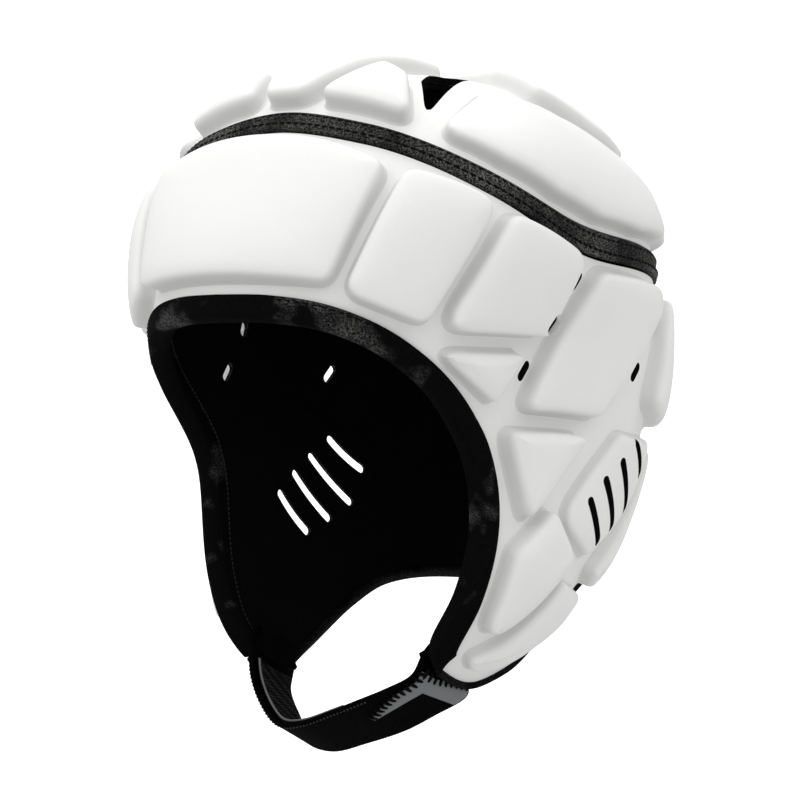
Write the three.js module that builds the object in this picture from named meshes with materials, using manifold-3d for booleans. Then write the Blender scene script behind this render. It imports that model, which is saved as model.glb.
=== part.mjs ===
import * as THREE from 'three';
import Module from 'manifold-3d';

const wasm = await Module();
wasm.setup();

// Sizes in millimetres, angles in degrees. +Z up, the face opening looks along -Y.
const SHELL_THICKNESS = 2.6;
const LINING_THICKNESS = 1.6;
const LAYER_GAP = 0.35;
const PIECE_GAP = 0.3;
const PAD_LIFT = 0.75;
const PAD_HEIGHT = 7.2;
const EAR_PAD_HEIGHT = 3.4;
const PAD_CORNER = 7;
const PAD_RING_SPACING = 18;
const BAND_WIDTH = 9;
const BAND_PROUD = 1.6;
const BINDING_REACH = 7;
const BINDING_THICKNESS = 1;
const BINDING_GAP = 0.6;
const BINDING_INNER_GAP = 1.1;
const HEM_WIDTH = 2;
const SLIT_DEPTH = 40;
const SIMPLIFY = 0.01;
const STRAP_THICKNESS = 2.4;
const ELASTIC_THICKNESS = 1.4;
const PATCH_THICKNESS = 0.8;
const PATCH_GAP = 0.5;

const COLUMNS = 40;
const HALF_COLUMNS = COLUMNS / 2;

// The base form: distance of the shell's outer face from the middle of the head,
// one row for each elevation, one column for each azimuth from the front.
const FORM_STEP = { azimuth: 45, elevation: 30, lowest: -60 };
const FORM = [
  { elevation: -60, front: 112, frontSide: 124, side: 120, rearSide: 117, rear: 135 },
  { elevation: -30, front: 106, frontSide: 91.5, side: 81, rearSide: 101, rear: 119 },
  { elevation: 0, front: 103, frontSide: 89.5, side: 72, rearSide: 97, rear: 115 },
  { elevation: 30, front: 99, frontSide: 101, side: 93, rearSide: 105, rear: 111 },
  { elevation: 60, front: 105, frontSide: 106, side: 104, rearSide: 102, rear: 103 },
  { elevation: 90, front: 97, frontSide: 97, side: 97, rearSide: 97, rear: 97 },
];

// Middle line of the seam band: elevation at each azimuth.
const BAND_STEP = 30;
const BAND = [
  { azimuth: 0, elevation: 49 },
  { azimuth: 30, elevation: 44 },
  { azimuth: 60, elevation: 34 },
  { azimuth: 90, elevation: 25 },
  { azimuth: 120, elevation: 19.5 },
  { azimuth: 150, elevation: 14 },
  { azimuth: 180, elevation: 12 },
];

// The rim, from the middle of the brow round the cheek flap to the middle of the nape.
// Each station also says at which azimuth its column leaves the seam band.
const RIM = [
  { band: 0, azimuth: 0, elevation: 5 },
  { band: 12, azimuth: 12, elevation: 4.7 },
  { band: 23, azimuth: 23, elevation: 3 },
  { band: 33, azimuth: 33, elevation: -1 },
  { band: 42, azimuth: 41.5, elevation: -7 },
  { band: 50, azimuth: 48, elevation: -13.5 },
  { band: 57, azimuth: 53.5, elevation: -20.5 },
  { band: 64, azimuth: 58.5, elevation: -28 },
  { band: 71, azimuth: 61.5, elevation: -36 },
  { band: 78, azimuth: 61.5, elevation: -44 },
  { band: 85, azimuth: 58, elevation: -52.5 },
  { band: 92, azimuth: 51.5, elevation: -61.5 },
  { band: 100, azimuth: 59, elevation: -66 },
  { band: 108, azimuth: 74, elevation: -68.5 },
  { band: 117, azimuth: 94, elevation: -66.5 },
  { band: 126, azimuth: 110, elevation: -63.5 },
  { band: 136, azimuth: 124, elevation: -59 },
  { band: 147, azimuth: 137, elevation: -53.5 },
  { band: 158, azimuth: 151, elevation: -49 },
  { band: 169, azimuth: 165, elevation: -46.5 },
  { band: 180, azimuth: 180, elevation: -45.5 },
];
const RIM_STEPS = RIM.length - 1;
const FLAP_CORNER = 11.5;

// Pad outlines, corners as [azimuth, elevation]. Those named in PAIRED_PADS have a mirrored twin.
const CENTRE_PADS = [
  {
    name: 'pad_brow',
    corners: [[-24.5, 10.6], [24.5, 10.6], [36.5, 35], [18, 42], [0, 44], [-18, 42], [-36.5, 35]],
  },
  {
    name: 'pad_crown_front',
    corners: [[-8, 53], [8, 53], [17, 60], [31, 70], [56, 77], [112, 79.5], [180, 81],
      [-112, 79.5], [-56, 77], [-31, 70], [-17, 60]],
  },
  {
    name: 'pad_crown_top',
    corners: [[180, 76], [125, 73.5], [104, 68.5], [97, 57], [118, 46], [136, 39], [180, 35.5],
      [-136, 39], [-118, 46], [-97, 57], [-104, 68.5], [-125, 73.5]],
  },
  { name: 'pad_crown_rear', corners: [[164.5, 30], [-164.5, 30], [-164.5, 16.5], [164.5, 16.5]] },
  { name: 'pad_rear_upper', corners: [[159.5, 6.5], [-159.5, 6.5], [-158.5, -17], [158.5, -17]] },
  { name: 'pad_rear_lower', corners: [[170.5, -22], [-170.5, -22], [-172, -41], [172, -41]] },
];
const PAIRED_PADS = [
  { name: 'pad_temple', corners: [[26.5, 9], [43.5, 2.8], [61, 28.5], [40, 34.5]] },
  { name: 'pad_side_front', corners: [[45.5, 1.8], [79.5, 1.6], [90.5, 21.5], [64, 27.5]] },
  { name: 'pad_cheek_bone', corner: 3.5, corners: [[45, -1.8], [73, -2.5], [62, -16.2]] },
  { name: 'pad_side', corners: [[71, -18.5], [105.5, -20], [127, 8], [125, 13.5], [97.5, 18.5]] },
  { name: 'pad_side_rear', corners: [[126.5, -14], [154.5, -17], [155, 8], [138.5, 10.5]] },
  { name: 'pad_cheek_upper', corner: 4, corners: [[66, -22.2], [104, -24], [75, -42.3]] },
  {
    name: 'pad_nape',
    corners: [[148, -21], [142, -36], [120, -50], [128, -53], [150, -45], [165.5, -42], [165.5, -21]],
  },
  { name: 'pad_cheek_middle', corner: 5, corners: [[70.5, -45.8], [86, -39.8], [98.5, -48], [62.5, -59.3]] },
  {
    name: 'pad_cheek_lower',
    corner: 4,
    corners: [[61.5, -61.7], [97, -51.5], [119, -54], [114, -58.5], [94, -62.5], [76, -65], [64, -64.3]],
  },
  { name: 'pad_crown_triangle', corner: 5, corners: [[12, 52.5], [42, 44.6], [42.5, 58], [33.5, 64.5]] },
  {
    name: 'pad_crown_side',
    corners: [[48, 42.5], [64, 37.5], [80, 32.5], [96, 28.2], [114, 24.7], [133, 21.7],
      [134, 30], [118, 40.5], [94, 50.5], [69, 57]],
  },
  { name: 'pad_crown_rear_side', corners: [[138.5, 20.5], [160, 17], [160, 29.5], [138.5, 32.5]] },
];
const EAR_PAD = {
  name: 'pad_ear',
  corner: PAD_CORNER,
  corners: [[116.5, -21.5], [141, -20], [140, -32], [111, -48], [91, -42]],
};

// Openings cut right through: ends as [azimuth, elevation], with their width.
const EAR_SLIT_WIDTH = 4.4;
const EAR_SLIT_BOW = 0.9;
const EAR_SLITS = [
  { top: [122.5, -22.5], foot: [133, -29.5] },
  { top: [115.5, -27.5], foot: [129, -37.5] },
  { top: [108.5, -32.5], foot: [121.5, -42] },
  { top: [101.5, -37.5], foot: [113, -45.5] },
];
const SIDE_SLIT_WIDTH = 3.6;
const SIDE_SLITS = [
  { top: [93.8, 17.5], foot: [91.2, 13.5] },
  { top: [88, 7.5], foot: [84.4, 2.5] },
  { top: [78.2, -5.5], foot: [74, -10.5] },
  { top: [135.6, 6.5], foot: [133, 2.7] },
  { top: [125, -4.5], foot: [121.5, -8.7] },
];
const VENT_CORNERS = [[84, 68.5], [46, 47.5], [48, 62], [58, 70], [76, 74]];

// The chin strap: its front and rear edge from the left cheek flap to the right one.
// Its two ends are seated on the rim of the flaps.
const STRAP = [
  { front: [36, -39, -118.5], rear: [40.5, -12, -127.5] },
  { front: [27, -42, -123.5], rear: [31, -16, -133.5] },
  { front: [16, -44, -128], rear: [19, -19, -140] },
  { front: [4, -44.5, -132.5], rear: [3, -21, -145.5] },
  { front: [-9, -45, -137], rear: [-12, -21.5, -149.5] },
  { front: [-20, -44.5, -138], rear: [-25, -20, -147.5] },
  { front: [-28.5, -43, -132], rear: [-33, -17, -140] },
  { front: [-35, -41, -122.5], rear: [-39.5, -14, -132] },
];
const STRAP_SEAT = { front: 11.2, rear: 13, lift: -4.2, past: 5.4 };
const STRAP_STEPS = 27;
const ELASTIC_FROM = 11;
const ELASTIC_MARGIN = 0.1;

// The reflective patch: a bent strip, its stations as [share along the strap, share across].
const PATCH = [
  { outer: [0.066, 0.94], inner: [0.15, 0.9] },
  { outer: [0.062, 0.5], inner: [0.149, 0.6] },
  { outer: [0.06, 0.07], inner: [0.148, 0.32] },
  { outer: [0.13, 0.09], inner: [0.195, 0.34] },
  { outer: [0.206, 0.12], inner: [0.25, 0.37] },
  { outer: [0.29, 0.25], inner: [0.3, 0.4] },
  { outer: [0.35, 0.39], inner: [0.345, 0.44] },
];

const rad = (degrees) => (degrees * Math.PI) / 180;
const deg = (radians) => (radians * 180) / Math.PI;

function curve(values, at) {
  const last = values.length - 1;
  const i = Math.min(Math.max(Math.floor(at), 0), last - 1);
  const t = at - i;
  const p1 = values[i];
  const p2 = values[i + 1];
  const p0 = i > 0 ? values[i - 1] : 2 * p1 - p2;
  const p3 = i + 2 <= last ? values[i + 2] : 2 * p2 - p1;
  return 0.5 * (2 * p1 + (p2 - p0) * t + (2 * p0 - 5 * p1 + 4 * p2 - p3) * t * t
    + (3 * p1 - p0 - 3 * p2 + p3) * t * t * t);
}

function ringCurve(row, azimuth) {
  const turned = Math.abs(((azimuth + 540) % 360) - 180);
  const listed = [row.front, row.frontSide, row.side, row.rearSide, row.rear];
  const values = [row.frontSide, ...listed, row.rearSide];
  const u = turned / FORM_STEP.azimuth + 1;
  const i = Math.min(Math.floor(u), values.length - 3);
  return curve(values.slice(i - 1, i + 3), 1 + u - i);
}

function radius(azimuth, elevation) {
  const values = FORM.map((row) => ringCurve(row, azimuth));
  values.push(ringCurve(FORM[FORM.length - 2], azimuth + 180));
  return curve(values, (elevation - FORM_STEP.lowest) / FORM_STEP.elevation);
}

function direction(azimuth, elevation) {
  const flat = Math.cos(rad(elevation));
  const rise = Math.sin(rad(elevation));
  return new THREE.Vector3(flat * Math.sin(rad(azimuth)), -flat * Math.cos(rad(azimuth)), rise);
}

function angles(v) {
  const length = v.length();
  return [deg(Math.atan2(v.x, -v.y)), deg(Math.asin(v.z / length))];
}

function excess(v) {
  const [azimuth, elevation] = angles(v);
  return v.length() - radius(azimuth, elevation);
}

// A point over the base form in the direction of v, lifted along the form's own normal.
function over(v, lift) {
  const [azimuth, elevation] = angles(v);
  const foot = v.clone().setLength(radius(azimuth, elevation));
  const step = 0.5;
  const normal = new THREE.Vector3();
  for (const axis of ['x', 'y', 'z']) {
    const ahead = foot.clone();
    const behind = foot.clone();
    ahead[axis] += step;
    behind[axis] -= step;
    normal[axis] = excess(ahead) - excess(behind);
  }
  return foot.addScaledVector(normal.normalize(), lift);
}

function normalAt(v) {
  return over(v, 1).sub(over(v, 0)).normalize();
}

function bandElevation(azimuth) {
  const turned = Math.abs(((azimuth + 540) % 360) - 180);
  const rows = BAND.map((row) => row.elevation);
  // The rows go on mirrored past both ends, so the band runs level over the front and the rear.
  const level = [rows[1], ...rows, rows[rows.length - 2]];
  return curve(level, 1 + turned / BAND_STEP);
}

function bandDirection(azimuth, offset) {
  const middle = bandElevation(azimuth);
  return direction(azimuth, middle + deg(offset / radius(azimuth, middle)));
}

// Column k runs from the crown to the rim; column 0 is the middle of the front.
function column(k) {
  const wrapped = ((k % COLUMNS) + COLUMNS) % COLUMNS;
  const side = wrapped > HALF_COLUMNS ? -1 : 1;
  const along = (side > 0 ? wrapped : COLUMNS - wrapped) * (RIM_STEPS / HALF_COLUMNS);
  const read = (name) => curve(RIM.map((row) => row[name]), along);
  return { band: side * read('band'), rim: direction(side * read('azimuth'), read('elevation')) };
}

const EDGE = BAND_WIDTH / 2 + PIECE_GAP;

function crownDirection(k, s) {
  const { band } = column(k);
  const foot = bandDirection(band, EDGE);
  const [, elevation] = angles(foot);
  return direction(band, 90 - (90 - elevation) * s);
}

function lowerDirection(k, s) {
  const { band, rim } = column(k);
  const head = bandDirection(band, -EDGE);
  const angle = head.angleTo(rim);
  return head.multiplyScalar(Math.sin((1 - s) * angle)).addScaledVector(rim, Math.sin(s * angle));
}

// Closed solid from a grid of points: top[i][j] outside, bottom[i][j] inside.
function gridSolid(outer, inner, closedRing, poleFirst) {
  const positions = [];
  const index = [];
  const rows = outer.length;
  const cols = outer[0].length;
  const ids = (layer) => layer.map((row, i) => {
    if (poleFirst && i === 0) {
      const id = positions.length;
      positions.push(row[0]);
      return row.map(() => id);
    }
    return row.map((p) => positions.push(p) - 1);
  });
  const a = ids(outer);
  const b = ids(inner);
  const tri = (p, q, r) => {
    if (p !== q && q !== r && p !== r) index.push(p, q, r);
  };
  const spans = closedRing ? cols : cols - 1;
  for (let i = 0; i < rows - 1; i += 1) {
    for (let j = 0; j < spans; j += 1) {
      const n = (j + 1) % cols;
      const falling = outer[i][j].distanceTo(outer[i + 1][n]);
      const rising = outer[i + 1][j].distanceTo(outer[i][n]);
      if (falling < rising + 0.01) {
        tri(a[i][j], a[i + 1][j], a[i + 1][n]);
        tri(a[i][j], a[i + 1][n], a[i][n]);
        tri(b[i][j], b[i + 1][n], b[i + 1][j]);
        tri(b[i][j], b[i][n], b[i + 1][n]);
      } else {
        tri(a[i][j], a[i + 1][j], a[i][n]);
        tri(a[i][n], a[i + 1][j], a[i + 1][n]);
        tri(b[i][j], b[i][n], b[i + 1][j]);
        tri(b[i][n], b[i + 1][n], b[i + 1][j]);
      }
    }
  }
  const wall = (edge) => {
    for (let j = 0; j < edge.length - 1; j += 1) {
      const [p, q] = [edge[j], edge[j + 1]];
      tri(p[0], p[1], q[1]);
      tri(p[0], q[1], q[0]);
    }
  };
  const last = rows - 1;
  const ring = (i) => Array.from({ length: spans + 1 }, (_, j) => [a[i][j % cols], b[i][j % cols]]);
  wall(ring(last));
  if (!poleFirst) wall(ring(0).reverse());
  if (!closedRing) {
    wall(a.map((row, i) => [row[0], b[i][0]]));
    wall(a.map((row, i) => [row[cols - 1], b[i][cols - 1]]).reverse());
  }
  return toGeometry(positions, index);
}

function toGeometry(points, index) {
  const geometry = new THREE.BufferGeometry();
  const flat = [];
  for (const p of points) flat.push(p.x, p.y, p.z);
  geometry.setAttribute('position', new THREE.Float32BufferAttribute(flat, 3));
  geometry.setIndex(index);
  return outward(geometry);
}

function outward(geometry) {
  const p = geometry.getAttribute('position');
  const ids = geometry.getIndex().array;
  const [a, b, c] = [new THREE.Vector3(), new THREE.Vector3(), new THREE.Vector3()];
  let volume = 0;
  for (let i = 0; i < ids.length; i += 3) {
    a.fromBufferAttribute(p, ids[i]);
    b.fromBufferAttribute(p, ids[i + 1]);
    c.fromBufferAttribute(p, ids[i + 2]);
    volume += a.dot(b.cross(c));
  }
  if (volume < 0) {
    const flipped = Array.from(ids);
    for (let i = 0; i < flipped.length; i += 3) {
      [flipped[i + 1], flipped[i + 2]] = [flipped[i + 2], flipped[i + 1]];
    }
    geometry.setIndex(flipped);
  }
  return geometry;
}

function toManifold(geometry) {
  const merged = geometry;
  return new wasm.Manifold(new wasm.Mesh({
    numProp: 3,
    vertProperties: new Float32Array(merged.getAttribute('position').array),
    triVerts: new Uint32Array(merged.getIndex().array),
  }));
}

function fromManifold(solid) {
  const mesh = solid.simplify(SIMPLIFY).getMesh();
  const geometry = new THREE.BufferGeometry();
  geometry.setAttribute('position', new THREE.BufferAttribute(new Float32Array(mesh.vertProperties), 3));
  geometry.setIndex(Array.from(mesh.triVerts));
  return geometry;
}

// Fillets each corner of a flat outline and returns its points in order.
function filleted(corners, cornerRadius, spacing) {
  const points = [];
  const count = corners.length;
  const cut = corners.map((corner, i) => {
    const before = corners[(i + count - 1) % count].clone().sub(corner);
    const after = corners[(i + 1) % count].clone().sub(corner);
    const half = Math.abs(before.angleTo(after)) / 2;
    const wanted = cornerRadius / Math.tan(half);
    return Math.min(wanted, 0.45 * before.length(), 0.45 * after.length());
  });
  for (let i = 0; i < count; i += 1) {
    const corner = corners[i];
    const before = corners[(i + count - 1) % count].clone().sub(corner).setLength(cut[i]).add(corner);
    const next = corners[(i + 1) % count];
    const after = next.clone().sub(corner).setLength(cut[i]).add(corner);
    const turn = Math.PI - before.clone().sub(corner).angleTo(after.clone().sub(corner));
    if (turn < rad(30)) {
      points.push(corner.clone());
    } else {
      points.push(before);
      if (turn > rad(75)) points.push(before.clone().lerp(after, 0.5).lerp(corner, 0.5));
      points.push(after);
    }
    const end = corner.clone().sub(next).setLength(cut[(i + 1) % count]).add(next);
    const start = points[points.length - 1];
    const pieces = Math.ceil(start.distanceTo(end) / spacing);
    for (let j = 1; j < pieces; j += 1) points.push(start.clone().lerp(end, j / pieces));
  }
  return points;
}

function inset(points, distance) {
  const count = points.length;
  return points.map((p, i) => {
    const before = points[(i + count - 1) % count];
    const after = points[(i + 1) % count];
    const along = after.clone().sub(before).normalize();
    return new THREE.Vector2(p.x - along.y * distance, p.y + along.x * distance);
  });
}

// A flat frame touching the form in the mean direction of some corners.
function flatFrame(corners) {
  const middle = new THREE.Vector3();
  for (const [azimuth, elevation] of corners) middle.add(direction(azimuth, elevation));
  middle.normalize();
  const [azimuth, elevation] = angles(middle);
  const reach = radius(azimuth, elevation);
  const across = new THREE.Vector3(0, 0, 1).cross(middle).normalize();
  const up = middle.clone().cross(across);
  const flat = (d) => {
    const scale = reach / d.dot(middle);
    return new THREE.Vector2(d.dot(across) * scale, d.dot(up) * scale);
  };
  const touch = middle.clone().multiplyScalar(reach);
  const lift = (p) => touch.clone().addScaledVector(across, p.x).addScaledVector(up, p.y);
  return { flat, lift };
}

function counterClockwise(points) {
  const area = points.reduce((sum, p, i) => sum + p.cross(points[(i + 1) % points.length]), 0);
  return area > 0 ? points : points.slice().reverse();
}

const PAD_SHOULDER = { inset: 2.4, share: 0.9 };

function padGeometry(pad, height) {
  const frame = flatFrame(pad.corners);
  const corners = counterClockwise(pad.corners.map((corner) => frame.flat(direction(...corner))));
  const outline = filleted(corners, pad.corner ?? PAD_CORNER, PAD_RING_SPACING);
  const centre = outline.reduce((sum, p) => sum.add(p), new THREE.Vector2()).divideScalar(outline.length);
  const reach = Math.max(...outline.map((p) => p.distanceTo(centre)));
  const rings = Math.max(2, Math.ceil(reach / PAD_RING_SPACING));
  const shrink = (points, share) => points.map((p) => centre.clone().lerp(p, share));
  const shares = Array.from({ length: rings - 1 }, (_, i) => 1 - (i + 1) / rings);
  const put = (points, lift) => points.map((p) => over(frame.lift(p), lift));
  const shoulder = inset(outline, PAD_SHOULDER.inset);
  const layers = [];
  for (const share of shares.slice().reverse()) layers.push(put(shrink(outline, share), PAD_LIFT));
  layers.push(put(outline, PAD_LIFT), put(shoulder, PAD_LIFT + PAD_SHOULDER.share * height));
  for (const share of rings > 2 ? [0.66, 0.33] : [0.6]) {
    layers.push(put(shrink(shoulder, share), PAD_LIFT + height));
  }
  const positions = layers.flat();
  const foot = positions.push(over(frame.lift(centre), PAD_LIFT)) - 1;
  const crown = positions.push(over(frame.lift(centre), PAD_LIFT + height)) - 1;
  const count = outline.length;
  const index = [];
  for (let j = 0; j < count; j += 1) {
    const n = (j + 1) % count;
    index.push(foot, n, j);
    for (let i = 0; i < layers.length - 1; i += 1) {
      const low = i * count;
      const high = low + count;
      index.push(low + j, low + n, high + n, low + j, high + n, high + j);
    }
    const top = (layers.length - 1) * count;
    index.push(crown, top + j, top + n);
  }
  return toGeometry(positions, index);
}

function mirrored(geometry) {
  const copy = geometry.clone();
  copy.applyMatrix4(new THREE.Matrix4().makeScale(-1, 1, 1));
  return outward(copy);
}

// A slot standing on the form between two ends, long enough to pass through every layer.
function slotCutter(slit, width, bow) {
  const top = over(direction(...slit.top), 0);
  const foot = over(direction(...slit.foot), 0);
  const middle = top.clone().add(foot).multiplyScalar(0.5);
  const out = normalAt(middle);
  const along = top.clone().sub(foot);
  const length = along.length();
  along.addScaledVector(out, -along.dot(out)).normalize();
  const across = out.clone().cross(along);
  const half = length / 2 - width / 2;
  const shape = new THREE.Shape();
  const sag = (y) => bow * (1 - (y / half) ** 2);
  const right = [];
  const left = [];
  const pieces = bow > 0 ? 2 : 1;
  for (let i = 0; i <= pieces; i += 1) {
    const y = half * ((2 * i) / pieces - 1);
    right.push(new THREE.Vector2(width / 2 + sag(y), y));
    left.push(new THREE.Vector2(-width / 2 + sag(y), y));
  }
  shape.setFromPoints([...right, ...left.reverse()]);
  const geometry = new THREE.ExtrudeGeometry(shape, { depth: SLIT_DEPTH, bevelEnabled: false, steps: 1 });
  const place = new THREE.Matrix4().makeBasis(across, along, out);
  place.setPosition(over(middle, 0).addScaledVector(out, -SLIT_DEPTH / 2));
  geometry.applyMatrix4(place);
  return solidOf(geometry);
}

function solidOf(geometry) {
  const p = geometry.getAttribute('position');
  const seen = new Map();
  const points = [];
  const index = [];
  for (let i = 0; i < p.count; i += 1) {
    const key = [p.getX(i), p.getY(i), p.getZ(i)].map((v) => Math.round(v * 1000)).join(',');
    if (!seen.has(key)) seen.set(key, points.push(new THREE.Vector3().fromBufferAttribute(p, i)) - 1);
    index.push(seen.get(key));
  }
  const ids = geometry.getIndex() ? Array.from(geometry.getIndex().array, (i) => index[i]) : index;
  const kept = [];
  for (let i = 0; i < ids.length; i += 3) {
    const [a, b, c] = [ids[i], ids[i + 1], ids[i + 2]];
    if (a !== b && b !== c && a !== c) kept.push(a, b, c);
  }
  return toManifold(toGeometry(points, kept));
}

// The crown vent: a wedge from inside the head out through the crown.
function ventCutter(corners) {
  const frame = flatFrame(corners);
  const outline = counterClockwise(corners.map((corner) => frame.flat(direction(...corner))));
  const rounded = filleted(outline, 2, 60);
  const near = rounded.map((p) => frame.lift(p).multiplyScalar(0.7));
  const far = rounded.map((p) => frame.lift(p).multiplyScalar(1.3));
  const faces = THREE.ShapeUtils.triangulateShape(rounded, []);
  const count = rounded.length;
  const index = [];
  for (const [a, b, c] of faces) {
    index.push(a, c, b);
    index.push(a + count, b + count, c + count);
  }
  for (let j = 0; j < count; j += 1) {
    const n = (j + 1) % count;
    index.push(j, n, n + count, j, n + count, j + count);
  }
  return toManifold(toGeometry([...near, ...far], index));
}

// The frame of the rim at a column: foot direction and the way out of the cap's edge.
function rimFrame(k) {
  const rim = column(k).rim;
  const foot = over(rim, 0);
  const out = normalAt(rim);
  const tangent = over(column(k + 0.25).rim, 0).sub(over(column(k - 0.25).rim, 0)).normalize();
  const outwards = out.clone().cross(tangent).normalize();
  if (outwards.dot(foot.clone().sub(over(lowerDirection(k, 0.9), 0))) < 0) outwards.negate();
  return { foot, outwards };
}

function rimSweep(stations, profile, closedRing) {
  const free = (k) => {
    const { foot, outwards } = rimFrame(k);
    const out = normalAt(foot);
    const at = (past, lift) => foot.clone().addScaledVector(outwards, past).addScaledVector(out, lift);
    return profile.map(([past, lift]) => at(past, lift));
  };
  const rings = stations.map((k) => {
    const [before, after] = [Math.floor(k), Math.ceil(k)];
    const [a, b] = [rimFrame(before), rimFrame(after)];
    const foot = a.foot.lerp(b.foot, 0.5);
    const outwards = a.outwards.lerp(b.outwards, 0.5).normalize();
    const [p, q] = [free(before), free(after)];
    return profile.map(([past, lift], i) => {
      if (past > 0) return p[i].lerp(q[i], 0.5);
      return over(foot.clone().addScaledVector(outwards, past), lift);
    });
  });
  return loft(rings, closedRing);
}

// Joins rings of equal length one to the next; open lofts get flat ends.
function loft(rings, closedRing) {
  const positions = rings.flat();
  const count = rings[0].length;
  const index = [];
  const spans = closedRing ? rings.length : rings.length - 1;
  for (let i = 0; i < spans; i += 1) {
    const low = i * count;
    const high = ((i + 1) % rings.length) * count;
    for (let j = 0; j < count; j += 1) {
      const n = (j + 1) % count;
      const rising = positions[low + j].distanceTo(positions[high + n]);
      const falling = positions[low + n].distanceTo(positions[high + j]);
      if (rising < falling) index.push(low + j, low + n, high + n, low + j, high + n, high + j);
      else index.push(low + j, low + n, high + j, low + n, high + n, high + j);
    }
  }
  if (!closedRing) {
    const first = rings[0];
    const u = first[1].clone().sub(first[0]).normalize();
    const away = new THREE.Vector3();
    for (let j = 1; j < count - 1; j += 1) {
      away.add(first[j].clone().sub(first[0]).cross(first[j + 1].clone().sub(first[0])));
    }
    const v = away.normalize().cross(u);
    const flat = first.map((p) => {
      const d = p.clone().sub(first[0]);
      return new THREE.Vector2(d.dot(u), d.dot(v));
    });
    const top = (rings.length - 1) * count;
    for (const [a, b, c] of THREE.ShapeUtils.triangulateShape(flat, [])) {
      index.push(a, c, b);
      index.push(top + a, top + b, top + c);
    }
  }
  return toGeometry(positions, index);
}

const white = new THREE.MeshStandardMaterial({ color: 0xf2f2f0, roughness: 0.55 });
const black = new THREE.MeshStandardMaterial({ color: 0x151515, roughness: 0.95 });
const charcoal = new THREE.MeshStandardMaterial({ color: 0x222222, roughness: 0.9 });
const grey = new THREE.MeshStandardMaterial({ color: 0x7c7d80, roughness: 0.6 });

const group = new THREE.Group();
const ORIGIN_HEIGHT = radius(0, 90) - SHELL_THICKNESS - LAYER_GAP - LINING_THICKNESS;

function add(name, geometry, material) {
  geometry.translate(0, 0, -ORIGIN_HEIGHT);
  const mesh = new THREE.Mesh(geometry, material);
  mesh.name = name;
  group.add(mesh);
}

const both = (name) => [`${name}_left`, `${name}_right`];
const CROWN_SHARES = [0, 0.34, 0.62, 0.84, 1];
const LOWER_SHARES = [0, 0.16, 0.32, 0.48, 0.64, 0.78, 0.91, 1];
const columns = Array.from({ length: COLUMNS }, (_, k) => k);
const layer = (directions, lift) => directions.map((row) => row.map((d) => over(d, lift)));

const crownGrid = CROWN_SHARES.map((s) => columns.map((k) => crownDirection(k, s)));
const lowerGrid = LOWER_SHARES.map((s) => columns.map((k) => lowerDirection(k, s)));
const liningLift = -SHELL_THICKNESS - LAYER_GAP;
const innerFace = liningLift - LINING_THICKNESS;

const slits = [];
for (const slit of EAR_SLITS) slits.push(slotCutter(slit, EAR_SLIT_WIDTH, EAR_SLIT_BOW));
const sideSlits = SIDE_SLITS.map((slit) => slotCutter(slit, SIDE_SLIT_WIDTH, 0));
const flipX = (solid) => solid.mirror([1, 0, 0]);
const allSlits = [...slits, ...sideSlits];
const lowerCuts = [...allSlits, ...allSlits.map(flipX)];
const vent = ventCutter(VENT_CORNERS);
const crownCuts = [vent, flipX(vent)];

function cutAll(geometry, cutters) {
  let solid = toManifold(geometry);
  for (const cutter of cutters) solid = solid.subtract(cutter);
  return fromManifold(solid);
}

const sheet = (grid, high, low, poleFirst) => gridSolid(layer(grid, high), layer(grid, low), true, poleFirst);
const liningGrid = [...crownGrid, ...lowerGrid];
const liningSheet = sheet(liningGrid, liningLift, innerFace, true);
add('shell_lower', cutAll(sheet(lowerGrid, 0, -SHELL_THICKNESS, false), lowerCuts), white);
add('shell_crown', cutAll(sheet(crownGrid, 0, -SHELL_THICKNESS, true), crownCuts), white);
add('lining', cutAll(liningSheet, [...lowerCuts, ...crownCuts]), black);

const bandGrid = [BAND_WIDTH / 2, 0, -BAND_WIDTH / 2]
  .map((offset) => columns.map((k) => bandDirection(column(k).band, offset)));
add('seam_band', sheet(bandGrid, BAND_PROUD, -SHELL_THICKNESS, false), charcoal);

const flapStation = FLAP_CORNER * (HALF_COLUMNS / RIM_STEPS);
const bindingStations = [];
for (let k = -flapStation; k <= flapStation; k += 0.5) bindingStations.push(k);
const outerLow = BINDING_GAP;
const outerHigh = BINDING_GAP + BINDING_THICKNESS;
const innerLow = innerFace - BINDING_INNER_GAP;
const innerHigh = innerLow - BINDING_THICKNESS;
add('face_binding', rimSweep(bindingStations, [
  [-BINDING_REACH, outerLow],
  [-BINDING_REACH, outerHigh],
  [PIECE_GAP + BINDING_THICKNESS / 2, outerHigh],
  [PIECE_GAP + BINDING_THICKNESS / 2, innerHigh],
  [-BINDING_REACH, innerHigh],
  [-BINDING_REACH, innerLow],
  [PIECE_GAP, innerLow],
  [PIECE_GAP, outerLow],
], false), charcoal);

const hemStations = [];
const hemStart = flapStation + 0.25;
for (let k = Math.ceil(hemStart); k <= COLUMNS - Math.ceil(hemStart); k += 1) hemStations.push(k);
add('hem_trim', rimSweep(hemStations, [
  [PIECE_GAP, 0],
  [PIECE_GAP + HEM_WIDTH, 0],
  [PIECE_GAP + HEM_WIDTH, innerFace],
  [PIECE_GAP, innerFace],
], false), charcoal);

for (const pad of CENTRE_PADS) add(pad.name, padGeometry(pad, PAD_HEIGHT), white);
for (const pad of PAIRED_PADS) {
  const geometry = padGeometry(pad, PAD_HEIGHT);
  const [left, right] = both(pad.name);
  add(right, mirrored(geometry), white);
  add(left, geometry, white);
}
const earPad = cutAll(padGeometry(EAR_PAD, EAR_PAD_HEIGHT), slits);
const [earLeft, earRight] = both(EAR_PAD.name);
add(earRight, mirrored(earPad), white);
add(earLeft, earPad, white);

// The strap and what is sewn on it.
function seat(k, side) {
  const { foot, outwards } = rimFrame(k);
  const point = foot.clone().addScaledVector(outwards, STRAP_SEAT.past);
  point.addScaledVector(normalAt(foot), STRAP_SEAT.lift);
  point.x *= side;
  return point;
}

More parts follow.
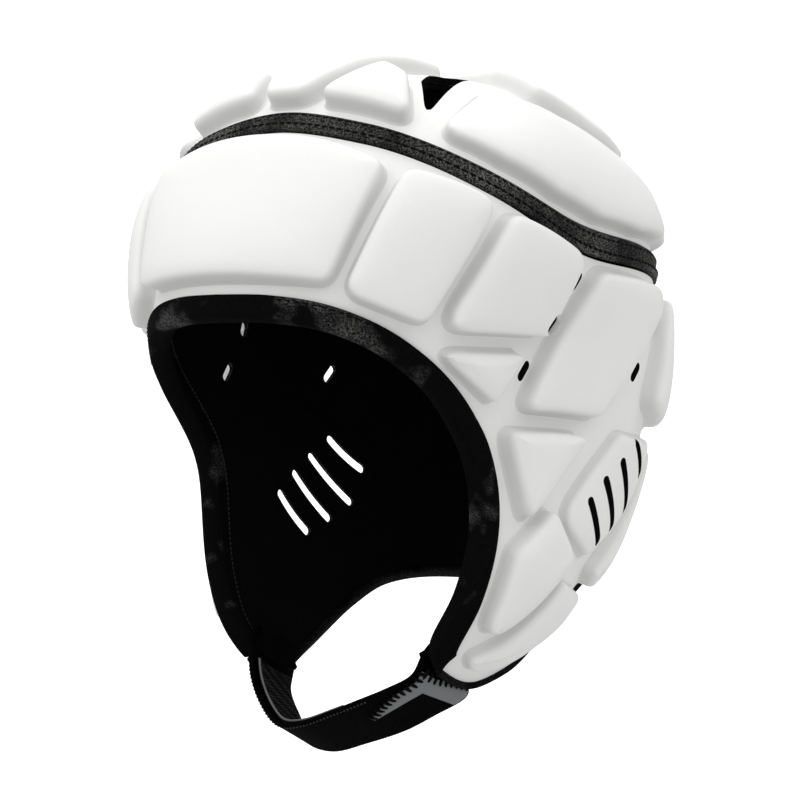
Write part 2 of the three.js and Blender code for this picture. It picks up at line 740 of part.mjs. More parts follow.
const seatBow = seat((STRAP_SEAT.front + STRAP_SEAT.rear) / 2, 1)
  .sub(seat(STRAP_SEAT.front, 1).add(seat(STRAP_SEAT.rear, 1)).multiplyScalar(0.5));
const edgeRows = (name) => [
  seat(STRAP_SEAT[name], 1).toArray(),
  ...STRAP.map((row) => row[name]),
  seat(STRAP_SEAT[name], -1).toArray(),
];
const strapEdges = { front: edgeRows('front'), rear: edgeRows('rear') };

function strapPoint(along, across) {
  const rows = strapEdges.front.length - 1;
  const edge = (name) => new THREE.Vector3(
    ...[0, 1, 2].map((axis) => curve(strapEdges[name].map((row) => row[axis]), along * rows)),
  );
  const bow = Math.max(0, 1 - rows * Math.min(along, 1 - along)) * 4 * across * (1 - across);
  const sag = seatBow.clone();
  if (along > 0.5) sag.x *= -1;
  return edge('front').lerp(edge('rear'), across).addScaledVector(sag, bow);
}

function overStrap(along, across, lift) {
  const step = 0.004;
  const ahead = strapPoint(Math.min(along + step, 1), across);
  ahead.sub(strapPoint(Math.max(along - step, 0), across));
  const wide = strapPoint(along, Math.min(across + 0.02, 1));
  wide.sub(strapPoint(along, Math.max(across - 0.02, 0)));
  return strapPoint(along, across).addScaledVector(ahead.cross(wide).normalize(), lift);
}

function strapSolid(from, to, margin, low, high) {
  const rings = [];
  const shares = [margin, 0.25, 0.5, 0.75, 1 - margin];
  for (let i = from; i <= to; i += 1) {
    const along = i / STRAP_STEPS;
    rings.push([
      ...shares.map((across) => overStrap(along, across, low)),
      ...shares.slice().reverse().map((across) => overStrap(along, across, high)),
    ]);
  }
  return loft(rings, false);
}

add('chin_strap', strapSolid(0, STRAP_STEPS, 0, 0, STRAP_THICKNESS), black);
add(
  'chin_elastic',
  strapSolid(ELASTIC_FROM, STRAP_STEPS - 1, ELASTIC_MARGIN, -PIECE_GAP - ELASTIC_THICKNESS, -PIECE_GAP),
  charcoal,
);

const patchRings = [];
for (let i = 0; i < PATCH.length - 1; i += 1) {
  for (const t of i < PATCH.length - 2 ? [0, 0.25, 0.5, 0.75] : [0, 0.5, 1]) {
    const next = PATCH[i + 1];
    const at = (name) => PATCH[i][name].map((value, axis) => value + (next[name][axis] - value) * t);
    const [outer, inner] = [at('outer'), at('inner')];
    const middle = outer.map((value, axis) => (value + inner[axis]) / 2);
    const low = STRAP_THICKNESS + PATCH_GAP;
    const high = low + PATCH_THICKNESS;
    patchRings.push([
      overStrap(...outer, low),
      overStrap(...outer, high),
      overStrap(...middle, high),
      overStrap(...inner, high),
      overStrap(...inner, low),
      overStrap(...middle, low),
    ]);
  }
}
add('strap_patch', loft(patchRings, false), grey);

export default group;
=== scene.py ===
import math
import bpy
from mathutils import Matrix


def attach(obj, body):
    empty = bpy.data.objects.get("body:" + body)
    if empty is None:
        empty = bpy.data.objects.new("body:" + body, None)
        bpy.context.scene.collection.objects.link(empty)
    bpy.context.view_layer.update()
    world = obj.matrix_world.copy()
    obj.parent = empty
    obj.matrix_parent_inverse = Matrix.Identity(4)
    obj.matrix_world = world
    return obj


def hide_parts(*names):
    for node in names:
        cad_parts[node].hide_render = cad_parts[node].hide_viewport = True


bl_info = {
    "name": "Padded Scrum Cap",
    "version": (1, 0, 0),
    "blender": (4, 5, 0),
    "location": "3D View > Sidebar > Scrum Cap",
    "description": "Dresses the fixed frame of a padded scrum cap in moulded foam, cloth and thread",
    "category": "Add Mesh",
}

import bmesh
import bpy
import numpy as np
from mathutils import Matrix, Vector

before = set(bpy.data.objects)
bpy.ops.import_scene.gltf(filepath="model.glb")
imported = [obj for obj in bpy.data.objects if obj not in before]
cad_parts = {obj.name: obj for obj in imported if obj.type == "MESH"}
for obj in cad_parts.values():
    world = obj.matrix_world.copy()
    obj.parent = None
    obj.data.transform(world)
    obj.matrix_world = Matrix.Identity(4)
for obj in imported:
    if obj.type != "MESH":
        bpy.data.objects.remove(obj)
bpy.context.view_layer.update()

# Sizes below are in millimetres about the middle of the head, as in the solids; meshes are in metres.
MM = 0.001
BODY = "root"

# The base form: distance of the shell's outer face from the middle of the head. Rows run from
# elevation -60 to 90 in steps of 30, columns from the front to the rear in steps of 45.
FORM_LOWEST = -60.0
FORM_ROW = 30.0
FORM_COLUMN = 45.0
FORM = np.array([
    [112, 124, 120, 117, 135],
    [106, 91.5, 81, 101, 119],
    [103, 89.5, 72, 97, 115],
    [99, 101, 93, 105, 111],
    [105, 106, 104, 102, 103],
    [97, 97, 97, 97, 97],
], float)

# Elevation of the seam band's middle line, every 30 degrees from the front to the rear.
BAND_STEP = 30.0
BAND = np.array([49, 44, 34, 25, 19.5, 14, 12], float)

# The rim: azimuth where a column leaves the band, then azimuth and elevation of its foot.
RIM = np.array([
    [0, 0, 5], [12, 12, 4.7], [23, 23, 3], [33, 33, -1], [42, 41.5, -7], [50, 48, -13.5],
    [57, 53.5, -20.5], [64, 58.5, -28], [71, 61.5, -36], [78, 61.5, -44], [85, 58, -52.5],
    [92, 51.5, -61.5], [100, 59, -66], [108, 74, -68.5], [117, 94, -66.5], [126, 110, -63.5],
    [136, 124, -59], [147, 137, -53.5], [158, 151, -49], [169, 165, -46.5], [180, 180, -45.5],
], float)
HALF_COLUMNS = len(RIM) - 1
COLUMNS = 2 * HALF_COLUMNS
FLAP_CORNER = 11.5

SHELL = 2.6
LINING = 1.6
LAYER_GAP = 0.35
PIECE_GAP = 0.3
PAD_LIFT = 0.75
BAND_WIDTH = 9.0
BAND_PROUD = 1.6
BINDING_REACH = 7.0
BINDING_TURN = 11.1
BINDING_GAP = 0.6
BINDING_INNER_GAP = 1.1
BINDING_THICK = 1.0
# The binding's fold past the rim: where its curve starts and how far it reaches from there.
BINDING_FOLD = (0.2, 1.9)
HEM_WIDTH = 2.0
# Dark groove left along each edge of the band's cloth.
BAND_GROOVE = 0.5
# Painted shade: how much darker a pad's foot and wall are painted than its top, as a share towards the dark
# tone, standing in for the shade that falls between the pads.
PAINTED_SHADE_DEPTH = 0.2

# Pad outlines as (azimuth, elevation) corners with their corner radius.
CENTRE_PADS = {
    "pad_brow": (7, [(-24.5, 10.6), (24.5, 10.6), (36.5, 35), (18, 42), (0, 44), (-18, 42), (-36.5, 35)]),
    "pad_crown_front": (7, [
        (-8, 53), (8, 53), (17, 60), (31, 70), (56, 77), (112, 79.5), (180, 81),
        (-112, 79.5), (-56, 77), (-31, 70), (-17, 60),
    ]),
    "pad_crown_top": (7, [
        (180, 76), (125, 73.5), (104, 68.5), (97, 57), (118, 46), (136, 39), (180, 35.5),
        (-136, 39), (-118, 46), (-97, 57), (-104, 68.5), (-125, 73.5),
    ]),
    "pad_crown_rear": (7, [(164.5, 30), (-164.5, 30), (-164.5, 16.5), (164.5, 16.5)]),
    "pad_rear_upper": (7, [(159.5, 6.5), (-159.5, 6.5), (-158.5, -17), (158.5, -17)]),
    "pad_rear_lower": (7, [(170.5, -22), (-170.5, -22), (-172, -41), (172, -41)]),
}
PAIRED_PADS = {
    "pad_temple": (7, [(26.5, 9), (43.5, 2.8), (61, 28.5), (40, 34.5)]),
    "pad_side_front": (7, [(45.5, 1.8), (79.5, 1.6), (90.5, 21.5), (64, 27.5)]),
    "pad_cheek_bone": (3.5, [(45, -1.8), (73, -2.5), (62, -16.2)]),
    "pad_side": (7, [(71, -18.5), (105.5, -20), (127, 8), (125, 13.5), (97.5, 18.5)]),
    "pad_side_rear": (7, [(126.5, -14), (154.5, -17), (155, 8), (138.5, 10.5)]),
    "pad_cheek_upper": (4, [(66, -22.2), (104, -24), (75, -42.3)]),
    "pad_nape": (7, [
        (148, -21), (142, -36), (120, -50), (128, -53), (150, -45), (165.5, -42), (165.5, -21),
    ]),
    "pad_cheek_middle": (5, [(70.5, -45.8), (86, -39.8), (98.5, -48), (62.5, -59.3)]),
    "pad_cheek_lower": (4, [
        (61.5, -61.7), (97, -51.5), (119, -54), (114, -58.5), (94, -62.5), (76, -65), (64, -64.3),
    ]),
    "pad_crown_triangle": (5, [(12, 52.5), (42, 44.6), (42.5, 58), (33.5, 64.5)]),
    "pad_crown_side": (7, [
        (48, 42.5), (64, 37.5), (80, 32.5), (96, 28.2), (114, 24.7), (133, 21.7),
        (134, 30), (118, 40.5), (94, 50.5), (69, 57),
    ]),
    "pad_crown_rear_side": (7, [(138.5, 20.5), (160, 17), (160, 29.5), (138.5, 32.5)]),
}
# Pads that are moulded lower than the rest, as a share of the pad height.
LOW_PADS = {"pad_cheek_bone": 0.72, "pad_cheek_lower": 0.62, "pad_nape": 0.8, "pad_crown_side": 0.92}
# Pads whose feet lie beside a slit and are cut back by it.
SLIT_PADS = ("pad_side_front", "pad_side", "pad_side_rear", "pad_cheek_bone")
EAR_PAD = (7, [(116.5, -21.5), (141, -20), (140, -32), (111, -48), (91, -42)])

# Slits cut right through, each from its top to its foot, as (azimuth, elevation).
EAR_SLIT_WIDTH = 3.8
SIDE_SLIT_WIDTH = 3.6
EAR_SLIT_BOW = 0.6
# Slits are cut along a way between the form's normal, at lean 0, and a level one, at lean 1.
SLIT_WAY = (0.616, 0.788, 0.0)
EAR_SLIT_LEAN = 0.82
SIDE_SLIT_LEAN = 0.55
CUT_DEPTH = 44.0
# The middle slit of the front row runs on through the edge of the pad before it, as a notch.
NOTCHED_PAD = "pad_side_front"
NOTCH_SLIT = 1
NOTCH_WAY = (0.616, -0.788, 0.0)
NOTCH_LEAN = 0.9
EAR_SLITS = [
    ((122.5, -22.5), (133, -29.5)),
    ((115.5, -27.5), (129, -37.5)),
    ((108.5, -32.5), (121.5, -42)),
    ((101.5, -37.5), (113, -45.5)),
]
SIDE_SLITS = [
    ((93.8, 17.5), (91.2, 13.5)),
    ((88, 7.5), (84.4, 2.5)),
    ((78.2, -5.5), (74, -10.5)),
    ((135.6, 6.5), (133, 2.7)),
    ((125, -4.5), (121.5, -8.7)),
]
# The long crown pad slopes down towards the vent: depth at the vent's middle and how far it reaches.
DIPPED_PAD = "pad_crown_side"
VENT_MIDDLE = (60, 56)
VENT_DIP = (6.0, 20.0)
VENT = [(84, 68.5), (46, 47.5), (48, 62), (58, 70), (76, 74)]

# The strap's front and rear edge between its two seats on the flaps.
STRAP_FRONT = [
    (36, -39, -118.5), (27, -42, -123.5), (16, -44, -128), (4, -44.5, -132.5), (-9, -45, -137),
    (-20, -44.5, -138), (-28.5, -43, -132), (-35, -41, -122.5),
]
STRAP_REAR = [
    (40.5, -12, -127.5), (31, -16, -133.5), (19, -19, -140), (3, -21, -145.5), (-12, -21.5, -149.5),
    (-25, -20, -147.5), (-33, -17, -140), (-39.5, -14, -132),
]
SEAT_FRONT, SEAT_REAR = 11.2, 13.0
SEAT_LIFT = -4.2
SEAT_PAST = 5.4

# Colours that aren't among the settings.
DARK_THREAD = (0.004, 0.004, 0.004)
GREY_THREAD = (0.05, 0.05, 0.05)
PALE_THREAD = (0.2, 0.2, 0.2)
HEM_GROUND = (0.003, 0.003, 0.003)
HEM_FIBRE = (0.02, 0.02, 0.02)
ELASTIC_GROUND = (0.003, 0.003, 0.0032)
# Painted highlight: the paler colour of the elastic's rib crests.
ELASTIC_CREST_HIGHLIGHT = (0.09, 0.09, 0.09)

# The reflective patch: its outer and inner edge as (share along the strap, share across it).
PATCH = np.array([
    [[0.066, 0.94], [0.15, 0.9]], [[0.062, 0.5], [0.149, 0.6]], [[0.06, 0.07], [0.148, 0.32]],
    [[0.13, 0.09], [0.195, 0.34]], [[0.206, 0.12], [0.25, 0.37]], [[0.29, 0.25], [0.3, 0.4]],
    [[0.35, 0.39], [0.345, 0.44]],
])
PATCH_TOP, PATCH_FOOT = 3.3, 2.5
# The share of the strap that its elastic covers, and the lengths its weave and ribs are laid out over.
ELASTIC_SPAN = (11 / 27, 26 / 27)
WEAVE_LENGTH = 165.0
WEAVE_WIDTH = 27.0


# The stage, in metres: the floor's rise from its middle out, lamps as (name, place, size, watts), camera.
FLOOR_HEIGHT = -0.36
FLOOR_PROFILE = [(0.0, 0.0), (1.9, 0.0), (2.3, 0.03), (2.6, 0.16), (2.82, 0.4), (2.95, 0.8), (3.0, 1.4)]
WORLD_STRENGTH = 1.2
LAMPS = (("key", (-0.3, -1.6, 1.2), 0.7, 3.2), ("top", (-0.4, 0.1, 1.9), 0.9, 8.0))
LAMP_TARGET = (0, 0, -0.1)
CAMERA_AZIMUTH = 38.0
CAMERA_AWAY = 1.1
CAMERA_RIGHT = 0.00112
CAMERA_DOWN = 0.0206
CAMERA_LENS = 132.16


# Curves and the base form.
def catmull(p0, p1, p2, p3, t):
    return 0.5 * (2 * p1 + (p2 - p0) * t + (2 * p0 - 5 * p1 + 4 * p2 - p3) * t * t
                  + (3 * p1 - p0 - 3 * p2 + p3) * t * t * t)


def spline(values, at):
    """Smooth curve through values, read at fractional positions."""
    values = np.asarray(values, float)
    at = np.asarray(at, float)
    ends = np.concatenate([[2 * values[0] - values[1]], values, [2 * values[-1] - values[-2]]])
    i = np.clip(np.floor(at).astype(int), 0, len(values) - 2)
    t = (at - i).reshape(at.shape + (1,) * (values.ndim - 1))
    return catmull(ends[i], ends[i + 1], ends[i + 2], ends[i + 3], t)


def ring_values(azimuth):
    turned = np.abs((azimuth + 540) % 360 - 180)
    table = np.concatenate([FORM[:, 1:2], FORM, FORM[:, 3:4]], axis=1)
    i = np.minimum((turned // FORM_COLUMN).astype(int), 3)
    t = turned / FORM_COLUMN - i
    return catmull(table[:, i], table[:, i + 1], table[:, i + 2], table[:, i + 3], t)


def radius(azimuth, elevation):
    azimuth, elevation = np.broadcast_arrays(azimuth, elevation)
    shape = azimuth.shape
    azimuth, elevation = azimuth.ravel(), elevation.ravel()
    rows = ring_values(azimuth)
    past = ring_values(azimuth + 180)[-2:-1]
    rows = np.concatenate([2 * rows[:1] - rows[1:2], rows, past, 2 * past - rows[-1:]])
    at = (elevation - FORM_LOWEST) / FORM_ROW
    i = np.clip(np.floor(at).astype(int), 0, len(FORM) - 1)
    n = np.arange(azimuth.size)
    found = catmull(rows[i, n], rows[i + 1, n], rows[i + 2, n], rows[i + 3, n], at - i)
    return found.reshape(shape)


def direction(azimuth, elevation):
    a, e = np.radians(azimuth), np.radians(elevation)
    return np.stack([np.cos(e) * np.sin(a), -np.cos(e) * np.cos(a), np.sin(e)], axis=-1)


def unit(v):
    return v / np.linalg.norm(v, axis=-1, keepdims=True)


def angles(v):
    u = unit(v)
    return np.degrees(np.arctan2(u[..., 0], -u[..., 1])), np.degrees(np.arcsin(np.clip(u[..., 2], -1, 1)))


def excess(v):
    return np.linalg.norm(v, axis=-1) - radius(*angles(v))


def normal_at(feet):
    reach = 0.5 * np.eye(3)
    return unit(np.stack([excess(feet + step) - excess(feet - step) for step in reach], axis=-1))


def over(v, lift):
    """Points over the base form in the directions v, lifted along its own normal."""
    feet = unit(v) * radius(*angles(v))[..., None]
    return feet + normal_at(feet) * np.asarray(lift, float)[..., None]


HEAD_HEIGHT = float(radius(np.array(0.0), np.array(90.0))) - SHELL - LAYER_GAP - LINING


def in_frame(points):
    """Points about the middle of the head, in the frame's metres from the inside of the top."""
    return (points - [0, 0, HEAD_HEIGHT]) * MM


def band_direction(azimuth, offset):
    turned = np.abs((azimuth + 540) % 360 - 180)
    level = np.concatenate([BAND[1:2], BAND, BAND[-2:-1]])
    middle = spline(level, 1 + turned / BAND_STEP)
    return direction(azimuth, middle + np.degrees(offset / radius(azimuth, middle)))


def column(k):
    """Azimuth where column k leaves the seam band, and the direction of its foot on the rim."""
    wrapped = np.mod(k, COLUMNS)
    side = np.where(wrapped > HALF_COLUMNS, -1.0, 1.0)
    along = np.where(side > 0, wrapped, COLUMNS - wrapped)
    row = spline(RIM, along)
    return side * row[..., 0], direction(side * row[..., 1], row[..., 2])


BAND_EDGE = BAND_WIDTH / 2 + PIECE_GAP


def crown_direction(k, share):
    band, _ = column(k)
    _, elevation = angles(band_direction(band, BAND_EDGE))
    return direction(band, 90 - (90 - elevation) * share)


def lower_direction(k, share):
    band, rim = column(k)
    head = band_direction(band, -BAND_EDGE)
    angle = np.arccos(np.clip(np.sum(head * rim, axis=-1), -1, 1))
    return head * np.sin((1 - share) * angle)[..., None] + rim * np.sin(share * angle)[..., None]


def rim_frame(k):
    """Foot of a column on the rim, the form's normal there and the way out of the cap's edge."""
    k = np.asarray(k, float)
    foot = over(column(k)[1], 0.0)
    normal = normal_at(foot)
    ahead = over(column(k + 0.25)[1], 0.0)
    behind = over(column(k - 0.25)[1], 0.0)
    outwards = unit(np.cross(normal, unit(ahead - behind)))
    inner = over(lower_direction(k, 0.9), 0.0)
    flip = np.sum(outwards * (foot - inner), axis=-1) < 0
    outwards[flip] *= -1
    return foot, normal, outwards


# Meshes.
def sheet(points, wrap=False, uv=None, painted_shade=None):
    """A grid of points as a bmesh; wrap joins its last column to its first; painted_shade is one value a row
    of painted shade, kept on the verts.
    """
    rows, columns = points.shape[:2]
    bm = bmesh.new()
    layer = bm.loops.layers.uv.new("UVMap")
    # Painted shade of each vertex, read by the foam's finish to darken it.
    shade = bm.verts.layers.float.new("painted_shade")
    bmesh.ops.create_grid(bm, x_segments=columns - 1, y_segments=rows - 1, size=1.0)
    bm.verts.ensure_lookup_table()
    placed = in_frame(points.reshape(-1, 3))
    marks = np.repeat(np.zeros(rows) if painted_shade is None else painted_shade, columns)
    for vert, co, mark in zip(bm.verts, placed, marks):
        vert.co = co
        vert[shade] = mark
    if uv is not None:
        flat = uv.reshape(-1, 2) * MM
        for face in bm.faces:
            for loop in face.loops:
                loop[layer].uv = flat[loop.vert.index]
    if wrap:
        bmesh.ops.remove_doubles(bm, verts=bm.verts, dist=1e-6)
    return bm


def tube(rings, uv=None, painted_shade=None):
    """Closed rings of points joined one to the next, first and last ring closed at a point."""
    caps = [np.repeat(ring.mean(axis=0, keepdims=True), len(ring), axis=0) for ring in (rings[0], rings[-1])]
    points = np.stack([caps[0], *rings, caps[1]])
    points = np.concatenate([points, points[:, :1]], axis=1)
    if painted_shade is not None:
        painted_shade = [painted_shade[0], *painted_shade, painted_shade[-1]]
    return sheet(points, wrap=True, uv=uv, painted_shade=painted_shade)


def make_piece(name, bm, material, replaces=(), sharp=50.0):
    bmesh.ops.recalc_face_normals(bm, faces=bm.faces)
    mesh = bpy.data.meshes.new(name)
    bm.to_mesh(mesh)
    bm.free()
    piece = bpy.data.objects.new(name, mesh)
    bpy.context.scene.collection.objects.link(piece)
    mesh.materials.append(material)
    mesh.shade_smooth()
    mesh.set_sharp_from_angle(angle=math.radians(sharp))
    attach(piece, BODY)
    if replaces:
        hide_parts(*replaces)
    return piece


def cut(piece, cutters, wall=None):
    """Takes the closed cutters out of a piece for good; wall is the finish left on the cut."""
    mesh = bpy.data.meshes.new("cutters")
    cutters.to_mesh(mesh)
    mesh.materials.append(wall or piece.data.materials[0])
    tool = bpy.data.objects.new("cutters", mesh)
    bpy.context.scene.collection.objects.link(tool)
    modifier = piece.modifiers.new("cut", "BOOLEAN")
    modifier.operation = "DIFFERENCE"
    modifier.solver = "EXACT"
    modifier.material_mode = "TRANSFER"
    modifier.object = tool
    bpy.context.view_layer.update()
    graph = bpy.context.evaluated_depsgraph_get()
    done = bpy.data.meshes.new_from_object(piece.evaluated_get(graph))
    piece.modifiers.clear()
    old = piece.data
    piece.data = done
    done.name = old.name
    bpy.data.meshes.remove(old)
    bpy.data.objects.remove(tool)
    bpy.data.meshes.remove(mesh)
    if not done.polygons:
        raise RuntimeError(f"nothing was left of {piece.name}")


def only_verts(made):
    return [g for g in made["geom"] if isinstance(g, bmesh.types.BMVert)]


def both_sides(bm):
    """Adds the mirror image of everything in a bmesh."""
    copy = bmesh.ops.duplicate(bm, geom=bm.verts[:] + bm.edges[:] + bm.faces[:])
    bmesh.ops.scale(bm, vec=(-1, 1, 1), verts=only_verts(copy))
    bmesh.ops.recalc_face_normals(bm, faces=bm.faces)
    return bm


def prism(bm, outline, depth):
    """A closed prism on a flat outline, grown along depth."""
    verts = [bm.verts.new(in_frame(p)) for p in outline]
    base = bm.faces.new(verts)
    grown = bmesh.ops.extrude_face_region(bm, geom=[base])
    bmesh.ops.translate(bm, vec=Vector(depth) * MM, verts=only_verts(grown))


def slit_frame(slit):
    top, foot = (over(direction(*end), 0.0) for end in slit)
    middle = over((top + foot) / 2, 0.0)
    out = normal_at(middle)
    along = top - foot
    length = np.linalg.norm(along)
    along = unit(along - out * np.dot(along, out))
    return middle, np.cross(out, along), along, out, length


def slit_cutters(slits, width, bow, lean, way=SLIT_WAY):
    """Cutters for the slits of both sides; lean turns them from the form's normal to a way."""
    bm = bmesh.new()
    for slit in slits:
        middle, across, along, out, length = slit_frame(slit)
        out = unit(out * (1 - lean) + np.array(way) * lean)
        r = width / 2
        half = length / 2 - r
        y = np.linspace(-half, half, 9)
        sag = bow * (1 - (y / half) ** 2)
        right = [(r + s, v) for s, v in zip(sag, y)]
        left = [(s - r, v) for s, v in zip(sag, y)]
        turn = np.linspace(0, math.pi, 7)[1:-1]
        top = [(r * math.cos(a), half + r * math.sin(a)) for a in turn]
        foot = [(-r * math.cos(a), -half - r * math.sin(a)) for a in turn]
        outline = right + top + left[::-1] + foot
        start = middle - out * CUT_DEPTH / 2
        prism(bm, [start + across * x + along * v for x, v in outline], out * CUT_DEPTH)
    return both_sides(bm)


# Pads.
def flat_frame(corners):
    """A plane touching the form in the mean direction of some corners."""
    spread = np.array([direction(*corner) for corner in corners])
    middle = unit(spread.sum(axis=0))
    reach = float(radius(*angles(middle)))
    across = unit(np.cross([0, 0, 1], middle))
    up = np.cross(middle, across)

    def flat(d):
        scale = reach / (d @ middle)
        return np.stack([d @ across * scale, d @ up * scale], axis=-1)

    def lift(p):
        return middle * reach + p[..., :1] * across + p[..., 1:] * up

    return flat(spread), lift


def filleted(corners, corner_radius, spacing):
    """A flat outline with its corners rounded, as evenly spaced points, counter-clockwise."""
    turn = np.roll(corners, -1, axis=0)
    if np.sum(corners[:, 0] * turn[:, 1] - corners[:, 1] * turn[:, 0]) < 0:
        corners = corners[::-1]
    points = []
    for before, corner, after in zip(np.roll(corners, 1, axis=0), corners, np.roll(corners, -1, axis=0)):
        a, b = before - corner, after - corner
        la, lb = np.linalg.norm(a), np.linalg.norm(b)
        half = math.acos(np.clip(a @ b / (la * lb), -1, 1)) / 2
        reach = min(corner_radius / math.tan(half) if half < 1.5 else 99, 0.45 * la, 0.45 * lb)
        start, end = corner + a / la * reach, corner + b / lb * reach
        for t in np.linspace(0, 1, 13):
            points.append((1 - t) ** 2 * start + 2 * t * (1 - t) * corner + t * t * end)
    line = np.array(points + points[:1])
    run = np.concatenate([[0], np.cumsum(np.linalg.norm(np.diff(line, axis=0), axis=1))])
    count = max(24, int(run[-1] / spacing))
    at = np.linspace(0, run[-1], count, endpoint=False)
    return np.stack([np.interp(at, run, line[:, axis]) for axis in (0, 1)], axis=-1)


def inset(points, distance):
    along = unit(np.roll(points, -1, axis=0) - np.roll(points, 1, axis=0))
    return points + distance * np.stack([-along[:, 1], along[:, 0]], axis=-1)


# The pad's wall from its foot on the shell to its shoulder: inset of the outline and share of the height.
PAD_PROFILE = [
    (-1.3, -0.07), (-1.1, 0.01), (-0.7, 0.025), (-0.35, 0.06), (-0.1, 0.12), (0.1, 0.22), (0.25, 0.35),
    (0.4, 0.49), (0.6, 0.62), (0.95, 0.75), (1.5, 0.86), (2.2, 0.925), (3.0, 0.96),
]


def pad_mesh(corner_radius, corners, height, crown, dip=None):
    """A pad on the form: its wall, its crowned top and its sunk foot; dip sinks it about one place."""
    outline_2d, lift = flat_frame(corners)
    outline = filleted(outline_2d, corner_radius, 1.7)
    centre = outline.mean(axis=0)
    full = PAD_LIFT + height
    rings = [(inset(outline, reach), share * full) for reach, share in PAD_PROFILE]
    shoulder = rings[-1][0]
    widest = np.linalg.norm(shoulder - centre, axis=1).max()
    steps = max(5, int(widest / 2.6))
    start = PAD_PROFILE[-1][1] * full
    for i in range(1, steps):
        share = 1 - i / steps
        ease = 1 - share ** 3
        near = 1 - math.exp(-(1 - share) * widest / 3.0)
        rings.append((centre + (shoulder - centre) * share, start + (full - start) * near + crown * ease))
    bottom = [(centre + (outline - centre) * share, -0.6) for share in (0.25, 0.5, 0.75)]
    placed = []
    for ring, height_here in bottom + rings:
        directions = lift(ring)
        lifts = np.full(len(ring), height_here)
        if dip and height_here > 0.5:
            place, depth, spread = dip
            feet = over(directions, 0.0)
            away = np.linalg.norm(feet - over(direction(*place), 0.0), axis=1)
            lifts = lifts - depth * np.exp(-(away / spread) ** 2) * min(1, height_here / full)
        placed.append(over(directions, lifts))
    # Painted shade: the wall and foot are marked to be painted darker than the top, for the shade that falls
    # in the creases between pads.
    wall_shade = [PAINTED_SHADE_DEPTH * min(1.0, max(0.0, (0.94 - h / full) / 0.4)) for _, h in bottom + rings]
    return tube(placed, painted_shade=wall_shade)


# Shader node helpers.
def made_once(make):
    """Wraps a function that makes a material, so that a name asked for again gives the same one."""
    def found_or_made(name, *values):
        return bpy.data.materials.get(name) or make(name, *values)
    return found_or_made


def new_material(name, colour, roughness):
    material = bpy.data.materials.new(name)
    material.use_nodes = True
    shader = material.node_tree.nodes["Principled BSDF"]
    shader.inputs["Base Color"].default_value = (*colour, 1)
    shader.inputs["Roughness"].default_value = roughness
    shader.inputs["Specular IOR Level"].default_value = 0.4
    return material, shader


def new_group(name, inputs, outputs):
    group = bpy.data.node_groups.new(name, "ShaderNodeTree")
    for label, kind, value in inputs:
        socket = group.interface.new_socket(name=label, in_out="INPUT", socket_type=kind)
        socket.default_value = value
    for label, kind in outputs:
        group.interface.new_socket(name=label, in_out="OUTPUT", socket_type=kind)
    return group, group.nodes.new("NodeGroupInput"), group.nodes.new("NodeGroupOutput")


def link(tree, source, target):
    tree.links.new(source, target)


def math_node(tree, operation, first, second=None):
    node = tree.nodes.new("ShaderNodeMath")
    node.operation = operation
    for socket, value in zip(node.inputs, (first, second)):
        if value is None:
            continue
        if isinstance(value, (int, float)):
            socket.default_value = value
        else:
            tree.links.new(value, socket)
    return node.outputs[0]


def noise_node(tree, scale, detail=3.0, roughness=0.55, vector=None):
    node = tree.nodes.new("ShaderNodeTexNoise")
    node.inputs["Detail"].default_value = detail
    node.inputs["Roughness"].default_value = roughness
    if isinstance(scale, (int, float)):
        node.inputs["Scale"].default_value = scale
    else:
        tree.links.new(scale, node.inputs["Scale"])
    if vector is None:
        vector = tree.nodes.new("ShaderNodeTexCoord").outputs["Object"]
    tree.links.new(vector, node.inputs["Vector"])
    return node.outputs["Fac"]


def mix_colour(tree, factor, dark, light):
    node = tree.nodes.new("ShaderNodeMix")
    node.data_type = "RGBA"
    tree.links.new(factor, node.inputs[0])
    for socket, value in ((node.inputs[6], dark), (node.inputs[7], light)):
        if isinstance(value, tuple):
            socket.default_value = (*value, 1) if len(value) == 3 else value
        else:
            tree.links.new(value, socket)
    return node.outputs[2]


def bump_node(tree, height, distance, strength=1.0):
    node = tree.nodes.new("ShaderNodeBump")
    node.inputs["Strength"].default_value = strength
    node.inputs["Distance"].default_value = distance
    tree.links.new(height, node.inputs["Height"])
    return node.outputs["Normal"]


def foam_grain_group():
    """Closed foam skin: fine pits over a slow waviness left by the mould."""
    found = bpy.data.node_groups.get("foam_grain")
    if found:
        return found
    group, entry, leave = new_group("foam_grain", [
        ("Pit Scale", "NodeSocketFloat", 1500.0),
        ("Wave Scale", "NodeSocketFloat", 45.0),
        ("Tint", "NodeSocketColor", (0.9, 0.9, 0.89, 1)),
        ("Shade", "NodeSocketColor", (0.84, 0.84, 0.835, 1)),
    ], [("Color", "NodeSocketColor"), ("Height", "NodeSocketFloat"), ("Roughness", "NodeSocketFloat")])
    pits = noise_node(group, entry.outputs["Pit Scale"], 2.0)
    waves = noise_node(group, entry.outputs["Wave Scale"], 2.0)
    tint = math_node(group, "MULTIPLY", waves, pits)
    link(group, mix_colour(group, tint, entry.outputs["Tint"], entry.outputs["Shade"]), leave.inputs["Color"])
    height = math_node(group, "ADD", math_node(group, "MULTIPLY", pits, 0.35), waves)
    link(group, height, leave.inputs["Height"])
    link(group, math_node(group, "MULTIPLY_ADD", pits, 0.16), leave.inputs["Roughness"])
    return group


